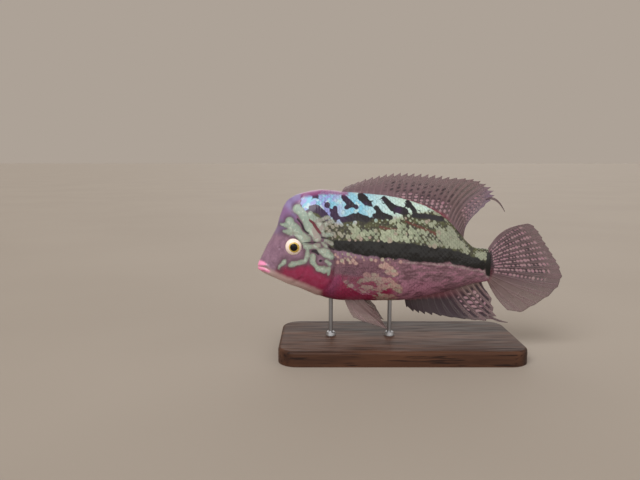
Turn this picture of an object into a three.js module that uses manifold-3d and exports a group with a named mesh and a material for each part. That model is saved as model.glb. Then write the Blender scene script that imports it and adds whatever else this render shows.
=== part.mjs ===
// A life-size model of a male flowerhorn cichlid, held over a flat display base by two short steel rods.
// Millimetres, +Z up. The snout points to -X and the fish's left side faces -Y. The origin is on the surface
// that the base stands on, under the middle of the whole model.
//
// The flesh is lofted whole from a few profiles along the fish and parted with thin cuts into head, nuchal
// hump, lower jaw, gill covers, torso and tail stem. Each fin is a closed membrane with its rays raised on
// both faces. Sizes of the fish are counted back from the snout tip (x) and up from its long axis (z).
import * as THREE from "three";
import { mergeVertices } from "three/addons/utils/BufferGeometryUtils.js";
import Module from "manifold-3d";

const wasm = await Module();
wasm.setup();

// Driving sizes of the fish
const TOTAL_LENGTH = 251.5; // snout tip to the rear edge of the caudal fin
const BODY_LENGTH = 190.4; // snout tip to the root of the caudal fin
const GAP = 0.3; // clearance between neighbouring solids
const EYE_RADIUS = 7.5;
const EYE_AT = { x: 30.3, z: 16.8 };
const EYE_DEPTH = 2.3; // how far the eyeball's centre sits under the cheek's surface
const EYE_SCALE = [1, 0.72, 1];
const NOSTRIL_AT = { x: 18.6, z: 15.4 };
const NOSTRIL_RADIUS = 0.95;
const NOSTRIL_SCALE = [1.25, 1, 1];
const GILL_FLARE = 0.9; // how far the gill covers stand out over the shoulder
const GILL_PLATE = 2.6; // thickness of a gill cover
const THROAT_HALF_WIDTH = 4; // the throat that shows between the two gill covers
const LIP_RADIUS = 1.9;
const UPPER_LIP = { corner: { x: 12.2, y: 10, z: -2.6 }, front: { x: 2.1, z: 1.3 } };
const LOWER_LIP = { corner: { x: 12.4, y: 9.8, z: -5.4 }, front: { x: 2.4, z: -2.7 } };
const MEMBRANE = 0.3; // half the thickness of a fin between its rays
const RAY_RIDGE = 0.34; // how far a ray stands out of each face of a fin, at its root
const ROOT_DEPTH = 2.2; // how far a fin starts under the skin before the body is cut out of it

// Driving sizes of the stand
const BASE = { length: 196, width: 92, height: 12, edge: 2.5, corner: 16, x: 116 };
const FIN_CLEARANCE = 9; // under the lowest fin tip
const LOWEST_FIN_Z = -51.2;
const ROD_RADIUS = 1.7;
const ROD_X = { front: 60, rear: 109 };
const SOCKET = { radius: 4.2, height: 3 };

const AXIS_HEIGHT = BASE.height + FIN_CLEARANCE - LOWEST_FIN_Z;

// A smooth function through [position, value] stations, with no overshoot between them.
function profile(stations) {
  const slope = stations.map(([x, y], i) => {
    if (i === 0 || i === stations.length - 1) {
      const [a, b] = i === 0 ? [stations[0], stations[1]] : stations.slice(-2);
      return (b[1] - a[1]) / (b[0] - a[0]);
    }
    const before = (y - stations[i - 1][1]) / (x - stations[i - 1][0]);
    const after = (stations[i + 1][1] - y) / (stations[i + 1][0] - x);
    return before * after <= 0 ? 0 : (2 * before * after) / (before + after);
  });
  return (x) => {
    const at = THREE.MathUtils.clamp(x, stations[0][0], stations[stations.length - 1][0]);
    let i = 0;
    while (i < stations.length - 2 && at > stations[i + 1][0]) i++;
    const [x0, y0] = stations[i];
    const [x1, y1] = stations[i + 1];
    const h = x1 - x0;
    const s = (at - x0) / h;
    const s2 = s * s;
    const s3 = s2 * s;
    return (
      (2 * s3 - 3 * s2 + 1) * y0 +
      (s3 - 2 * s2 + s) * h * slope[i] +
      (3 * s2 - 2 * s3) * y1 +
      (s3 - s2) * h * slope[i + 1]
    );
  };
}

// The body's outline from the side and from above
const top = profile([
  [0, 0.6], [1, 3.4], [2.6, 6.4], [7.6, 16.6], [12.2, 24.4], [15.5, 31], [18.4, 41], [21, 47.6], [25, 53],
  [31.6, 57], [40, 59.4], [50, 60.6], [67, 60], [85, 58.6], [104, 56.8], [120, 53.8], [135, 49], [147, 43],
  [157, 35.4], [165, 26.6], [172, 18.4], [179, 13.8], [BODY_LENGTH, 12.8],
]);
const bottom = profile([
  [0, -3.2], [4.2, -6.7], [8.2, -8.6], [14, -11.2], [23.3, -15.4], [37.6, -20.4], [48.5, -24.6], [58, -27.8],
  [68, -29.4], [84, -29.8], [108, -29.9], [120, -29.7], [135, -27], [152, -23.4], [165, -19.8], [178, -16],
  [BODY_LENGTH, -14],
]);
const halfWidth = profile([
  [0, 3.4], [3, 6.2], [8, 9], [14, 11.8], [20, 14], [28, 16.4], [40, 19], [55, 20.8], [70, 21.4], [90, 21],
  [110, 19.4], [130, 16.4], [150, 12.4], [165, 9.2], [178, 6.4], [BODY_LENGTH, 3.6],
]);
const waist = profile([
  [0, -1.4], [8, -1], [20, 1.5], [32, 4], [60, 5], [110, 5], [150, 2], [BODY_LENGTH, -0.6],
]);

// How square the section is above and below the waist (2 is an ellipse), and how far the gill covers flare
const backFullness = profile([
  [0, 2], [15, 2.1], [30, 2.5], [50, 2.45], [75, 2.05], [120, 1.8], [165, 1.8], [BODY_LENGTH, 2.2],
]);
const bellyFullness = profile([[0, 2], [20, 2.2], [60, 2.35], [110, 2.2], [135, 1.8], [BODY_LENGTH, 2.2]]);
const gillFlare = profile([[30, 0], [48, 0.75], [62, 1], [72, 1]]);

const signedPower = (value, power) => Math.sign(value) * Math.pow(Math.abs(value), power);

// A point of the skin in the ring at x; angle 0 is the fish's right, a quarter turn its back.
function skinPoint(x, angle, grow = 0, flare = 0) {
  const upper = Math.sin(angle) >= 0;
  const middle = waist(x);
  const reach = (upper ? top(x) - middle : middle - bottom(x)) + grow;
  const fullness = upper ? backFullness(x) : bellyFullness(x);
  const wide = halfWidth(x) + flare * gillFlare(x) + grow;
  return new THREE.Vector3(
    x,
    wide * signedPower(Math.cos(angle), 2 / fullness),
    middle + reach * signedPower(Math.sin(angle), 2 / fullness),
  );
}

// How far out the skin is at a height, on the fish's right.
function sideAt(x, z, flare = 0) {
  const middle = waist(x);
  const upper = z >= middle;
  const reach = upper ? top(x) - middle : middle - bottom(x);
  const fullness = upper ? backFullness(x) : bellyFullness(x);
  const share = Math.min(1, Math.abs(z - middle) / reach);
  return (halfWidth(x) + flare * gillFlare(x)) * Math.pow(1 - Math.pow(share, fullness), 1 / fullness);
}

// Solids from vertices and triangles, keeping the largest closed body
const volumeOf = (solid) => solid.volume();
const largest = (solid) => solid.decompose().sort((a, b) => volumeOf(b) - volumeOf(a))[0];

function solidFrom(points, triangles) {
  const build = (faces) =>
    new wasm.Manifold(
      new wasm.Mesh({
        numProp: 3,
        vertProperties: Float32Array.from(points.flatMap((p) => [p.x, p.y, p.z])),
        triVerts: Uint32Array.from(faces.flat()),
      }),
    );
  const made = build(triangles);
  return volumeOf(made) > 0 ? made : build(triangles.map(([a, b, c]) => [a, c, b]));
}

function solidOf(geometry) {
  const bare = geometry.clone();
  bare.deleteAttribute("normal");
  bare.deleteAttribute("uv");
  const merged = mergeVertices(bare, 1e-4);
  const place = merged.attributes.position;
  const index = merged.index.array;
  const pointAt = (_, i) => new THREE.Vector3().fromBufferAttribute(place, i);
  const faceAt = (_, i) => [index[3 * i], index[3 * i + 1], index[3 * i + 2]];
  const points = Array.from({ length: place.count }, pointAt);
  const faces = Array.from({ length: index.length / 3 }, faceAt);
  return solidFrom(points, faces);
}

// A closed body through rings of equal point counts, each end closed by a fan.
function loft(rings) {
  const count = rings[0].length;
  const points = rings.flat();
  const faces = [];
  rings.slice(1).forEach((_, r) => {
    for (let i = 0; i < count; i++) {
      const a = r * count + i;
      const b = r * count + ((i + 1) % count);
      faces.push([a, b, b + count], [a, b + count, a + count]);
    }
  });
  for (const [r, turn] of [[0, true], [rings.length - 1, false]]) {
    const hub = points.length;
    points.push(rings[r].reduce((sum, p) => sum.clone().add(p), new THREE.Vector3()).divideScalar(count));
    for (let i = 0; i < count; i++) {
      const a = r * count + i;
      const b = r * count + ((i + 1) % count);
      faces.push(turn ? [hub, b, a] : [hub, a, b]);
    }
  }
  return solidFrom(points, faces);
}

// The flesh, lofted whole, with its rings close together over the curve of the snout and forehead
const HEAD_RINGS = [
  0, 0.5, 1.2, 2.2, 3.6, 5.4, 7.6, 10, 12.4, 14.6, 16.4, 18, 19.8, 22, 25, 28.5, 32.5, 37, 42, 47,
];
const RING_STEP = 7.6;
const RING_POINTS = 30;

function flesh({ grow = 0, flare = 0 } = {}) {
  const stations = [...HEAD_RINGS];
  const start = HEAD_RINGS[HEAD_RINGS.length - 1];
  const count = Math.round((BODY_LENGTH - start) / RING_STEP);
  for (let i = 1; i <= count; i++) stations.push(start + ((BODY_LENGTH - start) * i) / count);
  const rings = stations.map((x, i) => {
    const push = i === 0 ? -grow : i === stations.length - 1 ? grow : 0;
    return Array.from({ length: RING_POINTS }, (_, k) => {
      const point = skinPoint(x, (2 * Math.PI * (k + 0.5)) / RING_POINTS, grow, flare);
      point.x += push;
      return point;
    });
  });
  return loft(rings);
}

// A thin wall across the fish along a line drawn from the side, for parting the flesh.
const ACROSS = 80;
function ribbon(line, thickness = GAP) {
  const knots = line.map(([x, z]) => new THREE.Vector3(x, z, 0));
  const points = new THREE.CatmullRomCurve3(knots, false, "centripetal").getPoints(3 * line.length);
  const sides = [1, -1].map((side) =>
    points.map((p, i) => {
      const next = points[Math.min(i + 1, points.length - 1)];
      const along = next.clone().sub(points[Math.max(i - 1, 0)]).normalize();
      return [p.x - (along.y * side * thickness) / 2, p.y + (along.x * side * thickness) / 2];
    }),
  );
  return extruded([...sides[0], ...sides[1].reverse()]);
}

// The prism of an outline drawn from the side, right across the fish.
function extruded(outline) {
  const shape = new THREE.Shape(outline.map(([x, z]) => new THREE.Vector2(x, z)));
  const geometry = new THREE.ExtrudeGeometry(shape, { depth: ACROSS, bevelEnabled: false });
  geometry.rotateX(Math.PI / 2).translate(0, ACROSS / 2, 0);
  return solidOf(geometry);
}

// The lines that the flesh is parted along, from the side
const GILL_TOP = [53.5, 24];
const GILL_SLIT = [
  [66, 74], [62.5, 55], [57, 36], GILL_TOP, [58, 14], [62, 2], [60, -10], [53, -20], [47, -27], [44, -36],
];
const CHEEK_LINE = [GILL_TOP, [44, 23], [40.5, 16], [40, 4], [36, -8], [28, -15], [31, -30]];
const HUMP_LINE = [[4, 30], [15.6, 31.5], [24, 35], [38, 41], [52, 45], [62, 47.5]];
const MOUTH_LINE = [[-6, -1.2], [3, -0.8], [8, -0.9], [12, -3.2], [14.2, -7], [16, -12], [17, -22]];
const STEM_LINE = [[174, 60], [174, -40]];

function insideGillCover(grow) {
  const rear = GILL_SLIT.slice(GILL_SLIT.indexOf(GILL_TOP) + 1);
  const outline = [...CHEEK_LINE, ...rear.reverse()].map(([x, z]) => new THREE.Vector2(x, z));
  const middle = outline.reduce((sum, p) => sum.add(p), new THREE.Vector2()).divideScalar(outline.length);
  const prism = extruded(
    outline.map((p) => {
      const out = p.clone().sub(middle).setLength(grow);
      return [p.x + out.x, p.y + out.y];
    }),
  );
  const throat = new THREE.BoxGeometry(ACROSS, 2 * (THROAT_HALF_WIDTH - grow), ACROSS);
  return prism.subtract(solidOf(throat.translate(middle.x, 0, middle.y)));
}

// A roll along a path: the ring at each step is wide across the path and thick along the other way.
function roll(path, steps, sides, { across, wide, thick }) {
  const rings = [];
  for (let i = 0; i <= steps; i++) {
    const share = i / steps;
    const centre = path.getPoint(share);
    const along = path.getTangent(share);
    const out = across(along).normalize();
    const up = new THREE.Vector3().crossVectors(out, along).normalize();
    rings.push(
      Array.from({ length: sides }, (_, k) => {
        const turn = (2 * Math.PI * k) / sides;
        const point = centre.clone().addScaledVector(out, wide(share) * Math.cos(turn));
        return point.addScaledVector(up, thick(share) * Math.sin(turn));
      }),
    );
  }
  return loft(rings);
}

// A lip is a tapering roll round the front of the mouth, from corner to corner.
function lip({ corner, front }) {
  const beside = (side) => [front.x + 3.2, side * corner.y * 0.72, front.z * 0.6 + corner.z * 0.4];
  const knots = [
    [corner.x, corner.y, corner.z], beside(1), [front.x, 0, front.z],
    beside(-1), [corner.x, -corner.y, corner.z],
  ];
  const path = new THREE.CatmullRomCurve3(knots.map((p) => new THREE.Vector3(...p)));
  const radius = (share) => LIP_RADIUS * (0.35 + 0.65 * Math.sin(Math.PI * share));
  const outwards = (along) => new THREE.Vector3(along.y, -along.x, 0);
  return roll(path, 16, 10, { across: outwards, wide: radius, thick: radius });
}

const ball = (radius, [x, y, z], scale, detail = [20, 12]) =>
  solidOf(new THREE.SphereGeometry(radius, ...detail).scale(...scale).translate(x, y, z));

const eyeY = sideAt(EYE_AT.x, EYE_AT.z) - EYE_DEPTH;
const eyeBall = (side, radius) => ball(radius, [EYE_AT.x, side * eyeY, EYE_AT.z], EYE_SCALE);
const nostrilY = sideAt(NOSTRIL_AT.x, NOSTRIL_AT.z);
const nostril = (side) =>
  ball(NOSTRIL_RADIUS, [NOSTRIL_AT.x, side * nostrilY, NOSTRIL_AT.z], NOSTRIL_SCALE, [8, 6]);

// The piece of a cut solid whose middle is nearest to a place, leaving crumbs out
const CRUMB = 100;
function pieceNear(solid, ...place) {
  const away = (piece) => {
    const { min, max } = piece.boundingBox();
    return Math.hypot(...place.map((at, i) => (min[i] + max[i]) / 2 - at));
  };
  const pieces = solid.decompose().filter((piece) => volumeOf(piece) > CRUMB);
  return pieces.sort((a, b) => away(a) - away(b))[0];
}

function partFlesh() {
  const plain = flesh();
  const flared = flesh({ flare: GILL_FLARE });
  const core = flesh({ grow: -GILL_PLATE, flare: GILL_FLARE });
  const deepCore = flesh({ grow: -GILL_PLATE - GAP, flare: GILL_FLARE });
  const gillCut = ribbon(GILL_SLIT);
  const rearParts = plain.subtract(gillCut).subtract(ribbon(STEM_LINE));

  const lipped = flared.add(lip(UPPER_LIP)).add(lip(LOWER_LIP)).subtract(gillCut);
  const faceParts = lipped.subtract(ribbon(MOUTH_LINE)).subtract(ribbon(HUMP_LINE));
  let head = pieceNear(faceParts, 32, 0, 8);
  const covers = head.intersect(insideGillCover(0)).subtract(core);
  head = head.subtract(insideGillCover(GAP).subtract(deepCore));
  for (const side of [1, -1]) head = head.subtract(eyeBall(side, EYE_RADIUS + GAP)).subtract(nostril(side));

  return {
    head: largest(head),
    nuchal_hump: pieceNear(faceParts, 38, 0, 46),
    lower_jaw: pieceNear(faceParts, 8, 0, -7),
    gill_cover_left: pieceNear(covers, 46, -16, 0),
    gill_cover_right: pieceNear(covers, 46, 16, 0),
    torso: pieceNear(rearParts, 110, 0, 14),
    tail_stem: pieceNear(rearParts, 182, 0, 0),
  };
}

// A fin's solid. columns hold a place along the fin (0 front to 1 rear), whether a ray runs there, and how
// far out it goes; at(t, v) gives the fin's middle, from root (v 0) to edge (v 1), and normal its side.
const FIN_ROWS = [0, 0.1, 0.26, 0.46, 0.66, 0.84, 1];
const CAUDAL_ROWS = [0, 0.08, 0.2, 0.36, 0.54, 0.7, 0.86, 1];
const PAIRED_ROWS = [0, 0.14, 0.36, 0.6, 0.82, 1];

function finSolid({ columns, at, normal = acrossFish, root, rows = FIN_ROWS, ridge = RAY_RIDGE }) {
  const fleshy = profile([[0, root], [0.12, root * 0.62], [0.3, 0.12], [1, 0]]);
  const sides = [1, -1].map((side) =>
    columns.map(({ t, ray, reach }) =>
      rows.map((v) => {
        const thick = MEMBRANE + fleshy(v) + (ray ? ridge * (1 - 0.55 * v) : 0);
        return at(t, v * reach).addScaledVector(normal(t, v), side * thick);
      }),
    ),
  );
  const high = rows.length;
  const wide = columns.length;
  const points = sides.flat(2);
  const back = wide * high;
  const faces = [];
  const id = (c, r) => c * high + r;
  const quad = (a, b, c, d) => faces.push([a, b, c], [a, c, d]);
  for (let c = 0; c < wide - 1; c++) {
    for (let r = 0; r < high - 1; r++) {
      quad(id(c, r), id(c + 1, r), id(c + 1, r + 1), id(c, r + 1));
      faces.push([back + id(c, r), back + id(c + 1, r + 1), back + id(c + 1, r)]);
      faces.push([back + id(c, r), back + id(c, r + 1), back + id(c + 1, r + 1)]);
    }
    quad(back + id(c, 0), back + id(c + 1, 0), id(c + 1, 0), id(c, 0));
    quad(id(c, high - 1), id(c + 1, high - 1), back + id(c + 1, high - 1), back + id(c, high - 1));
  }
  for (let r = 0; r < high - 1; r++) {
    quad(id(0, r), id(0, r + 1), back + id(0, r + 1), back + id(0, r));
    quad(back + id(wide - 1, r), back + id(wide - 1, r + 1), id(wide - 1, r + 1), id(wide - 1, r));
  }
  return solidFrom(points, faces);
}

const acrossFish = () => new THREE.Vector3(0, 1, 0);

// Columns for evenly numbered rays: a ray with a flank on each side, the membrane's edge drawn in between.
function rayColumns(count, notch, flank = 0.24) {
  const columns = [];
  for (let i = 0; i < count; i++) {
    const t = i / (count - 1);
    const step = flank / (count - 1);
    const drawn = notch(t);
    if (i > 0) columns.push({ t: t - step, ray: false, reach: 1 - drawn * 0.45 });
    columns.push({ t, ray: true, reach: 1 });
    if (i < count - 1) columns.push({ t: t + step, ray: false, reach: 1 - drawn });
  }
  return columns;
}

// A ray from root to tip that bows by bow at its middle.
function rayPath(from, to, bow) {
  const middle = from.clone().add(to).multiplyScalar(0.5).add(bow);
  return (v) =>
    from.clone().multiplyScalar((1 - v) * (1 - v))
      .addScaledVector(middle, 2 * v * (1 - v))
      .addScaledVector(to, v * v);
}

// Dorsal fin: seventeen spines, then twelve soft rays that sweep back to a trailing tip
const DORSAL_RAYS = 29;
const DORSAL_WAVE = 2.4;
const dorsalRootX = profile([[0, 68.2], [0.571, 146.3], [0.786, 161.2], [1, 169.4]]);
const dorsalTipX = profile([
  [0, 71.5], [0.143, 94.1], [0.286, 116.7], [0.43, 139.3], [0.571, 161.9], [0.643, 175.4], [0.714, 185.4],
  [0.786, 191.8], [0.821, 192.4], [0.857, 189.4], [0.893, 184.4], [0.929, 179], [0.964, 174], [1, 169.8],
]);
const dorsalTipZ = profile([
  [0, 63.7], [0.143, 71.8], [0.286, 75.2], [0.43, 74], [0.571, 71.3], [0.643, 70.1], [0.714, 66.2],
  [0.786, 60.6], [0.821, 57], [0.857, 52.8], [0.893, 48], [0.929, 43], [0.964, 38], [1, 31.4],
]);
const dorsalLean = profile([[0, 1], [0.5, 3], [0.75, 9], [1, 1.6]]);
const DORSAL_TRAILER = { ray: 23, x: 201.4, z: 43.2, bulge: 0.8 };

function dorsalAt(t, v) {
  const rootX = dorsalRootX(t);
  const lean = dorsalLean(t);
  const from = new THREE.Vector3(rootX, 0, top(rootX) - ROOT_DEPTH);
  const to = new THREE.Vector3(dorsalTipX(t), 0, dorsalTipZ(t));
  const point = rayPath(from, to, new THREE.Vector3(-lean, 0, lean * 0.7))(v);
  point.y = DORSAL_WAVE * v * v * Math.sin(5.2 * t + 0.6);
  return point;
}

// Anal fin: six spines and nine soft rays, with a trailing tip
const ANAL_RAYS = 15;
const ANAL_WAVE = 1.8;
const analRootX = profile([[0, 121], [1, 184.5]]);
const analTipX = profile([
  [0, 123.2], [0.07, 129], [0.21, 138.1], [0.36, 152.1], [0.5, 171], [0.64, 189], [0.714, 197.4],
  [0.79, 198.4], [0.86, 195.6], [0.93, 194], [1, 189.5],
]);
const analTipZ = profile([
  [0, -36.7], [0.07, -40.3], [0.21, -42.2], [0.36, -43.6], [0.5, -46], [0.64, -47.6], [0.714, -47.2],
  [0.79, -43.6], [0.86, -36.2], [0.93, -28.8], [1, -22.4],
]);
const analLean = profile([[0, 0.5], [0.6, 4], [1, 2]]);
const ANAL_TRAILER = { ray: 10, x: 208, z: -49, bulge: -0.6 };

function analAt(t, v) {
  const rootX = analRootX(t);
  const lean = analLean(t);
  const from = new THREE.Vector3(rootX, 0, bottom(rootX) + ROOT_DEPTH);
  const to = new THREE.Vector3(analTipX(t), 0, analTipZ(t));
  const point = rayPath(from, to, new THREE.Vector3(-lean * 0.4, 0, -lean))(v);
  point.y = ANAL_WAVE * v * v * Math.sin(4.4 * t + 2.4);
  return point;
}

// The thin filament that a long soft ray ends in, past the edge of the membrane
function trailer(at, rays, { ray, x, z, bulge }) {
  const t = ray / (rays - 1);
  const inside = [0.7, 0.86, 1].map((v) => at(t, v));
  const edge = inside[2];
  const middle = new THREE.Vector3((edge.x + x) / 2 + bulge, edge.y, (edge.z + z) / 2 + bulge * 0.8);
  const path = new THREE.CatmullRomCurve3([...inside, middle, new THREE.Vector3(x, edge.y, z)]);
  return roll(path, 10, 6, {
    across: (along) => new THREE.Vector3(-along.z, 0, along.x),
    wide: (share) => 0.3 + 1.3 * Math.sin(Math.PI * (0.2 + 0.8 * share)),
    thick: (share) => 0.55 - 0.3 * share,
  });
}

// Caudal fin: a fan of sixteen rays, its upper corner blunt and its lower half fuller
const CAUDAL_RAYS = 16;
const CAUDAL_WAVE = 5;
const CAUDAL_BOW = { upper: { x: -5, z: 8 }, lower: { x: -2.2, z: 2.6 } };
const caudalTipX = profile([
  [0, 214.6], [0.07, 221.9], [0.2, 230.6], [0.3, 235.4], [0.4, 240], [0.5, 244.6], [0.6, 249.4],
  [0.667, TOTAL_LENGTH], [0.73, 248.4], [0.8, 240.4], [0.87, 228.4], [0.93, 217.4], [1, 206.4],
]);
const caudalTipZ = profile([
  [0, 32.4], [0.07, 33.8], [0.2, 27.2], [0.3, 19.6], [0.4, 12.9], [0.5, 5.8], [0.6, -2.5], [0.667, -10.4],
  [0.73, -18.6], [0.8, -26.8], [0.87, -34.4], [0.93, -39.8], [1, -38],
]);

function caudalAt(t, v) {
  const share = 1 - 2 * t;
  const half = share > 0 ? "upper" : "lower";
  const rootZ = (share > 0 ? top(BODY_LENGTH) : -bottom(BODY_LENGTH)) * 0.93 * share;
  const from = new THREE.Vector3(BODY_LENGTH - 1.2, 0, rootZ);
  const to = new THREE.Vector3(caudalTipX(t), 0, caudalTipZ(t));
  const bow = new THREE.Vector3(CAUDAL_BOW[half].x * Math.abs(share), 0, CAUDAL_BOW[half].z * share);
  const point = rayPath(from, to, bow)(v);
  point.y = CAUDAL_WAVE * v * v * (0.35 * Math.sin(3.1 * t) - 0.75 * t * t);
  return point;
}

// Pelvic fins: a spine and five soft rays each, pointed, splayed out below the breast
const PELVIC_RAYS = 6;
const PELVIC_ROOT = { x: 70.5, length: 15, y: 7.5, splay: 6 };
const pelvicTipX = profile([[0, 78.2], [0.2, 86], [0.4, 106.4], [0.6, 101.5], [0.8, 98.4], [1, 93.4]]);
const pelvicTipZ = profile([
  [0, -41.6], [0.2, -44.8], [0.4, LOWEST_FIN_Z], [0.6, -44], [0.8, -38.3], [1, -32.6],
]);

function pelvicAt(t, v) {
  const x = PELVIC_ROOT.x + PELVIC_ROOT.length * t;
  const skin = skinHeightUnder(x, PELVIC_ROOT.y);
  const from = new THREE.Vector3(x, PELVIC_ROOT.y - 0.6, skin + ROOT_DEPTH);
  const to = new THREE.Vector3(pelvicTipX(t), PELVIC_ROOT.y + PELVIC_ROOT.splay, pelvicTipZ(t));
  const point = rayPath(from, to, new THREE.Vector3(-1.2, 0, -1.4))(v);
  point.y += 1.2 * v * Math.sin(3 * t);
  return point;
}

function skinHeightUnder(x, y) {
  const fullness = bellyFullness(x);
  const share = Math.pow(1 - Math.pow(y / halfWidth(x), fullness), 1 / fullness);
  return waist(x) - (waist(x) - bottom(x)) * share;
}

// Pectoral fins: rounded clear fans laid back along the flanks
const PECTORAL_RAYS = 13;
const PECTORAL_RIDGE = 0.24;
const PECTORAL_ROOT = { x: 65.5, high: 0.5, low: -9 };
const PECTORAL_FLARE = 8.5; // how far the fin's edge stands off the flank
const pectoralTipX = profile([[0, 95], [0.2, 104.6], [0.45, 108], [0.7, 103.6], [0.9, 93.4], [1, 84.4]]);
const pectoralTipZ = profile([[0, 2.4], [0.2, 0.4], [0.45, -6.6], [0.7, -14.6], [0.9, -20.6], [1, -20.4]]);

function pectoralAt(t, v) {
  const rootZ = THREE.MathUtils.lerp(PECTORAL_ROOT.high, PECTORAL_ROOT.low, t);
  const rootX = PECTORAL_ROOT.x + 3 * t;
  const from = new THREE.Vector3(rootX - 1.4, sideAt(rootX, rootZ) - 1.2, rootZ);
  const tipX = pectoralTipX(t);
  const tipZ = pectoralTipZ(t);
  const to = new THREE.Vector3(tipX, sideAt(tipX, tipZ) + PECTORAL_FLARE, tipZ);
  return rayPath(from, to, new THREE.Vector3(0, 1.6, 0.4 - 1.6 * t))(v);
}

// The direction that a paired fin's face points in, from the lie of its own middle
function faceOf(at) {
  const front = at(0, 0.5).sub(at(1, 0.5));
  const out = at(0.5, 1).sub(at(0.5, 0));
  return new THREE.Vector3().crossVectors(front, out).normalize();
}

function fins() {
  const body = flesh({ grow: GAP });
  const rooted = (solid) => largest(solid.subtract(body));
  const dorsalNotch = profile([[0, 0.05], [0.1, 0.16], [0.5, 0.12], [0.6, 0.05], [0.8, 0.09], [1, 0.05]]);
  const analNotch = profile([[0, 0.2], [0.3, 0.16], [0.42, 0.03], [0.6, 0.03], [0.75, 0.12], [1, 0.08]]);
  const dorsal = finSolid({ columns: rayColumns(DORSAL_RAYS, dorsalNotch), at: dorsalAt, root: 1.1 });
  const anal = finSolid({ columns: rayColumns(ANAL_RAYS, analNotch), at: analAt, root: 1.1 });
  const caudal = finSolid({
    columns: rayColumns(CAUDAL_RAYS, () => 0.018), at: caudalAt, root: 2.2, rows: CAUDAL_ROWS,
  });
  const pelvicFace = faceOf(pelvicAt);
  const pelvic = finSolid({
    columns: rayColumns(PELVIC_RAYS, () => 0.03, 0.2), at: pelvicAt, normal: () => pelvicFace, root: 0.7,
    rows: PAIRED_ROWS,
  });
  const pectoralFace = faceOf(pectoralAt);
  const pectoral = finSolid({
    columns: rayColumns(PECTORAL_RAYS, () => 0.02), at: pectoralAt, normal: () => pectoralFace, root: 0.6,
    rows: PAIRED_ROWS, ridge: PECTORAL_RIDGE,
  });
  const toLeft = (solid) => solid.mirror([0, 1, 0]);
  return {
    dorsal_fin: rooted(dorsal.add(trailer(dorsalAt, DORSAL_RAYS, DORSAL_TRAILER))),
    anal_fin: rooted(anal.add(trailer(analAt, ANAL_RAYS, ANAL_TRAILER))),
    caudal_fin: rooted(caudal),
    pelvic_fin_left: toLeft(rooted(pelvic)),
    pelvic_fin_right: rooted(pelvic),
    pectoral_fin_left: toLeft(rooted(pectoral)),
    pectoral_fin_right: rooted(pectoral),
  };
}

// The stand: a flat base with rounded corners and two rods, each in a low socket
function roundedPlate(length, width, corner) {
  const shape = new THREE.Shape();
  const [x, y] = [length / 2, width / 2];
  shape.moveTo(-x + corner, -y);
  shape.lineTo(x - corner, -y);
  shape.absarc(x - corner, -y + corner, corner, -Math.PI / 2, 0);
  shape.lineTo(x, y - corner);
  shape.absarc(x - corner, y - corner, corner, 0, Math.PI / 2);
  shape.lineTo(-x + corner, y);
  shape.absarc(-x + corner, y - corner, corner, Math.PI / 2, Math.PI);
  shape.lineTo(-x, -y + corner);
  shape.absarc(-x + corner, -y + corner, corner, Math.PI, 1.5 * Math.PI);
  return shape;
}

function standSolids() {
  const floor = -AXIS_HEIGHT;
  const baseTop = floor + BASE.height;
  const inset = 2 * BASE.edge;
  const outline = roundedPlate(BASE.length - inset, BASE.width - inset, BASE.corner - BASE.edge);
  const plate = new THREE.ExtrudeGeometry(outline, {
    depth: BASE.height - BASE.edge, bevelEnabled: true, bevelThickness: BASE.edge, bevelSize: BASE.edge,
    bevelSegments: 2, curveSegments: 6,
  });
  const body = flesh({ grow: GAP });

  // A rod runs up into the belly before the body is cut out of it, so that its top follows the belly.
  const rodAt = (x) => {
    const foot = baseTop + GAP;
    const rod = new THREE.CylinderGeometry(ROD_RADIUS, ROD_RADIUS, -foot, 14);
    const collar = new THREE.CylinderGeometry(SOCKET.radius * 0.8, SOCKET.radius, SOCKET.height, 20);
    rod.rotateX(Math.PI / 2).translate(x, 0, foot / 2);
    collar.rotateX(Math.PI / 2).translate(x, 0, foot + SOCKET.height / 2);
    return largest(solidOf(rod).add(solidOf(collar)).subtract(body));
  };
  return {
    stand_base: solidOf(plate.translate(BASE.x, 0, floor)).trimByPlane([0, 0, 1], floor),
    stand_rod_front: rodAt(ROD_X.front),
    stand_rod_rear: rodAt(ROD_X.rear),
  };
}

const material = (color, roughness, metalness = 0) =>
  new THREE.MeshStandardMaterial({ color, roughness, metalness });
const MATERIALS = {
  skin: material(0x8fb5a2, 0.35),
  forehead: material(0x9a7a94, 0.35),
  throat: material(0x8e2c3c, 0.35),
  fin: material(0x8a6f74, 0.4),
  clear_fin: material(0xa88f9b, 0.35),
  eye: material(0xe8d9a8, 0.1),
  wood: material(0x3b241a, 0.45),
  steel: material(0xb9bcc0, 0.25, 1),
};
const FINISH = {
  head: "forehead", nuchal_hump: "forehead", lower_jaw: "throat",
  gill_cover_left: "throat", gill_cover_right: "throat",
  torso: "skin", tail_stem: "skin",
  dorsal_fin: "fin", anal_fin: "fin", caudal_fin: "fin",
  pelvic_fin_left: "fin", pelvic_fin_right: "fin",
  pectoral_fin_left: "clear_fin", pectoral_fin_right: "clear_fin",
  eye_left: "eye", eye_right: "eye",
  stand_base: "wood", stand_rod_front: "steel", stand_rod_rear: "steel",
};

function meshOf(name, solid) {
  const { vertProperties, triVerts } = solid.getMesh();
  const geometry = new THREE.BufferGeometry();
  geometry.setAttribute("position", new THREE.BufferAttribute(Float32Array.from(vertProperties), 3));
  geometry.setIndex(new THREE.BufferAttribute(Uint32Array.from(triVerts), 1));
  geometry.computeVertexNormals();
  const mesh = new THREE.Mesh(geometry, MATERIALS[FINISH[name]]);
  mesh.name = name;
  return mesh;
}

const solids = {
  ...partFlesh(),
  eye_left: eyeBall(-1, EYE_RADIUS),
  eye_right: eyeBall(1, EYE_RADIUS),
  ...fins(),
  ...standSolids(),
};

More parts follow.
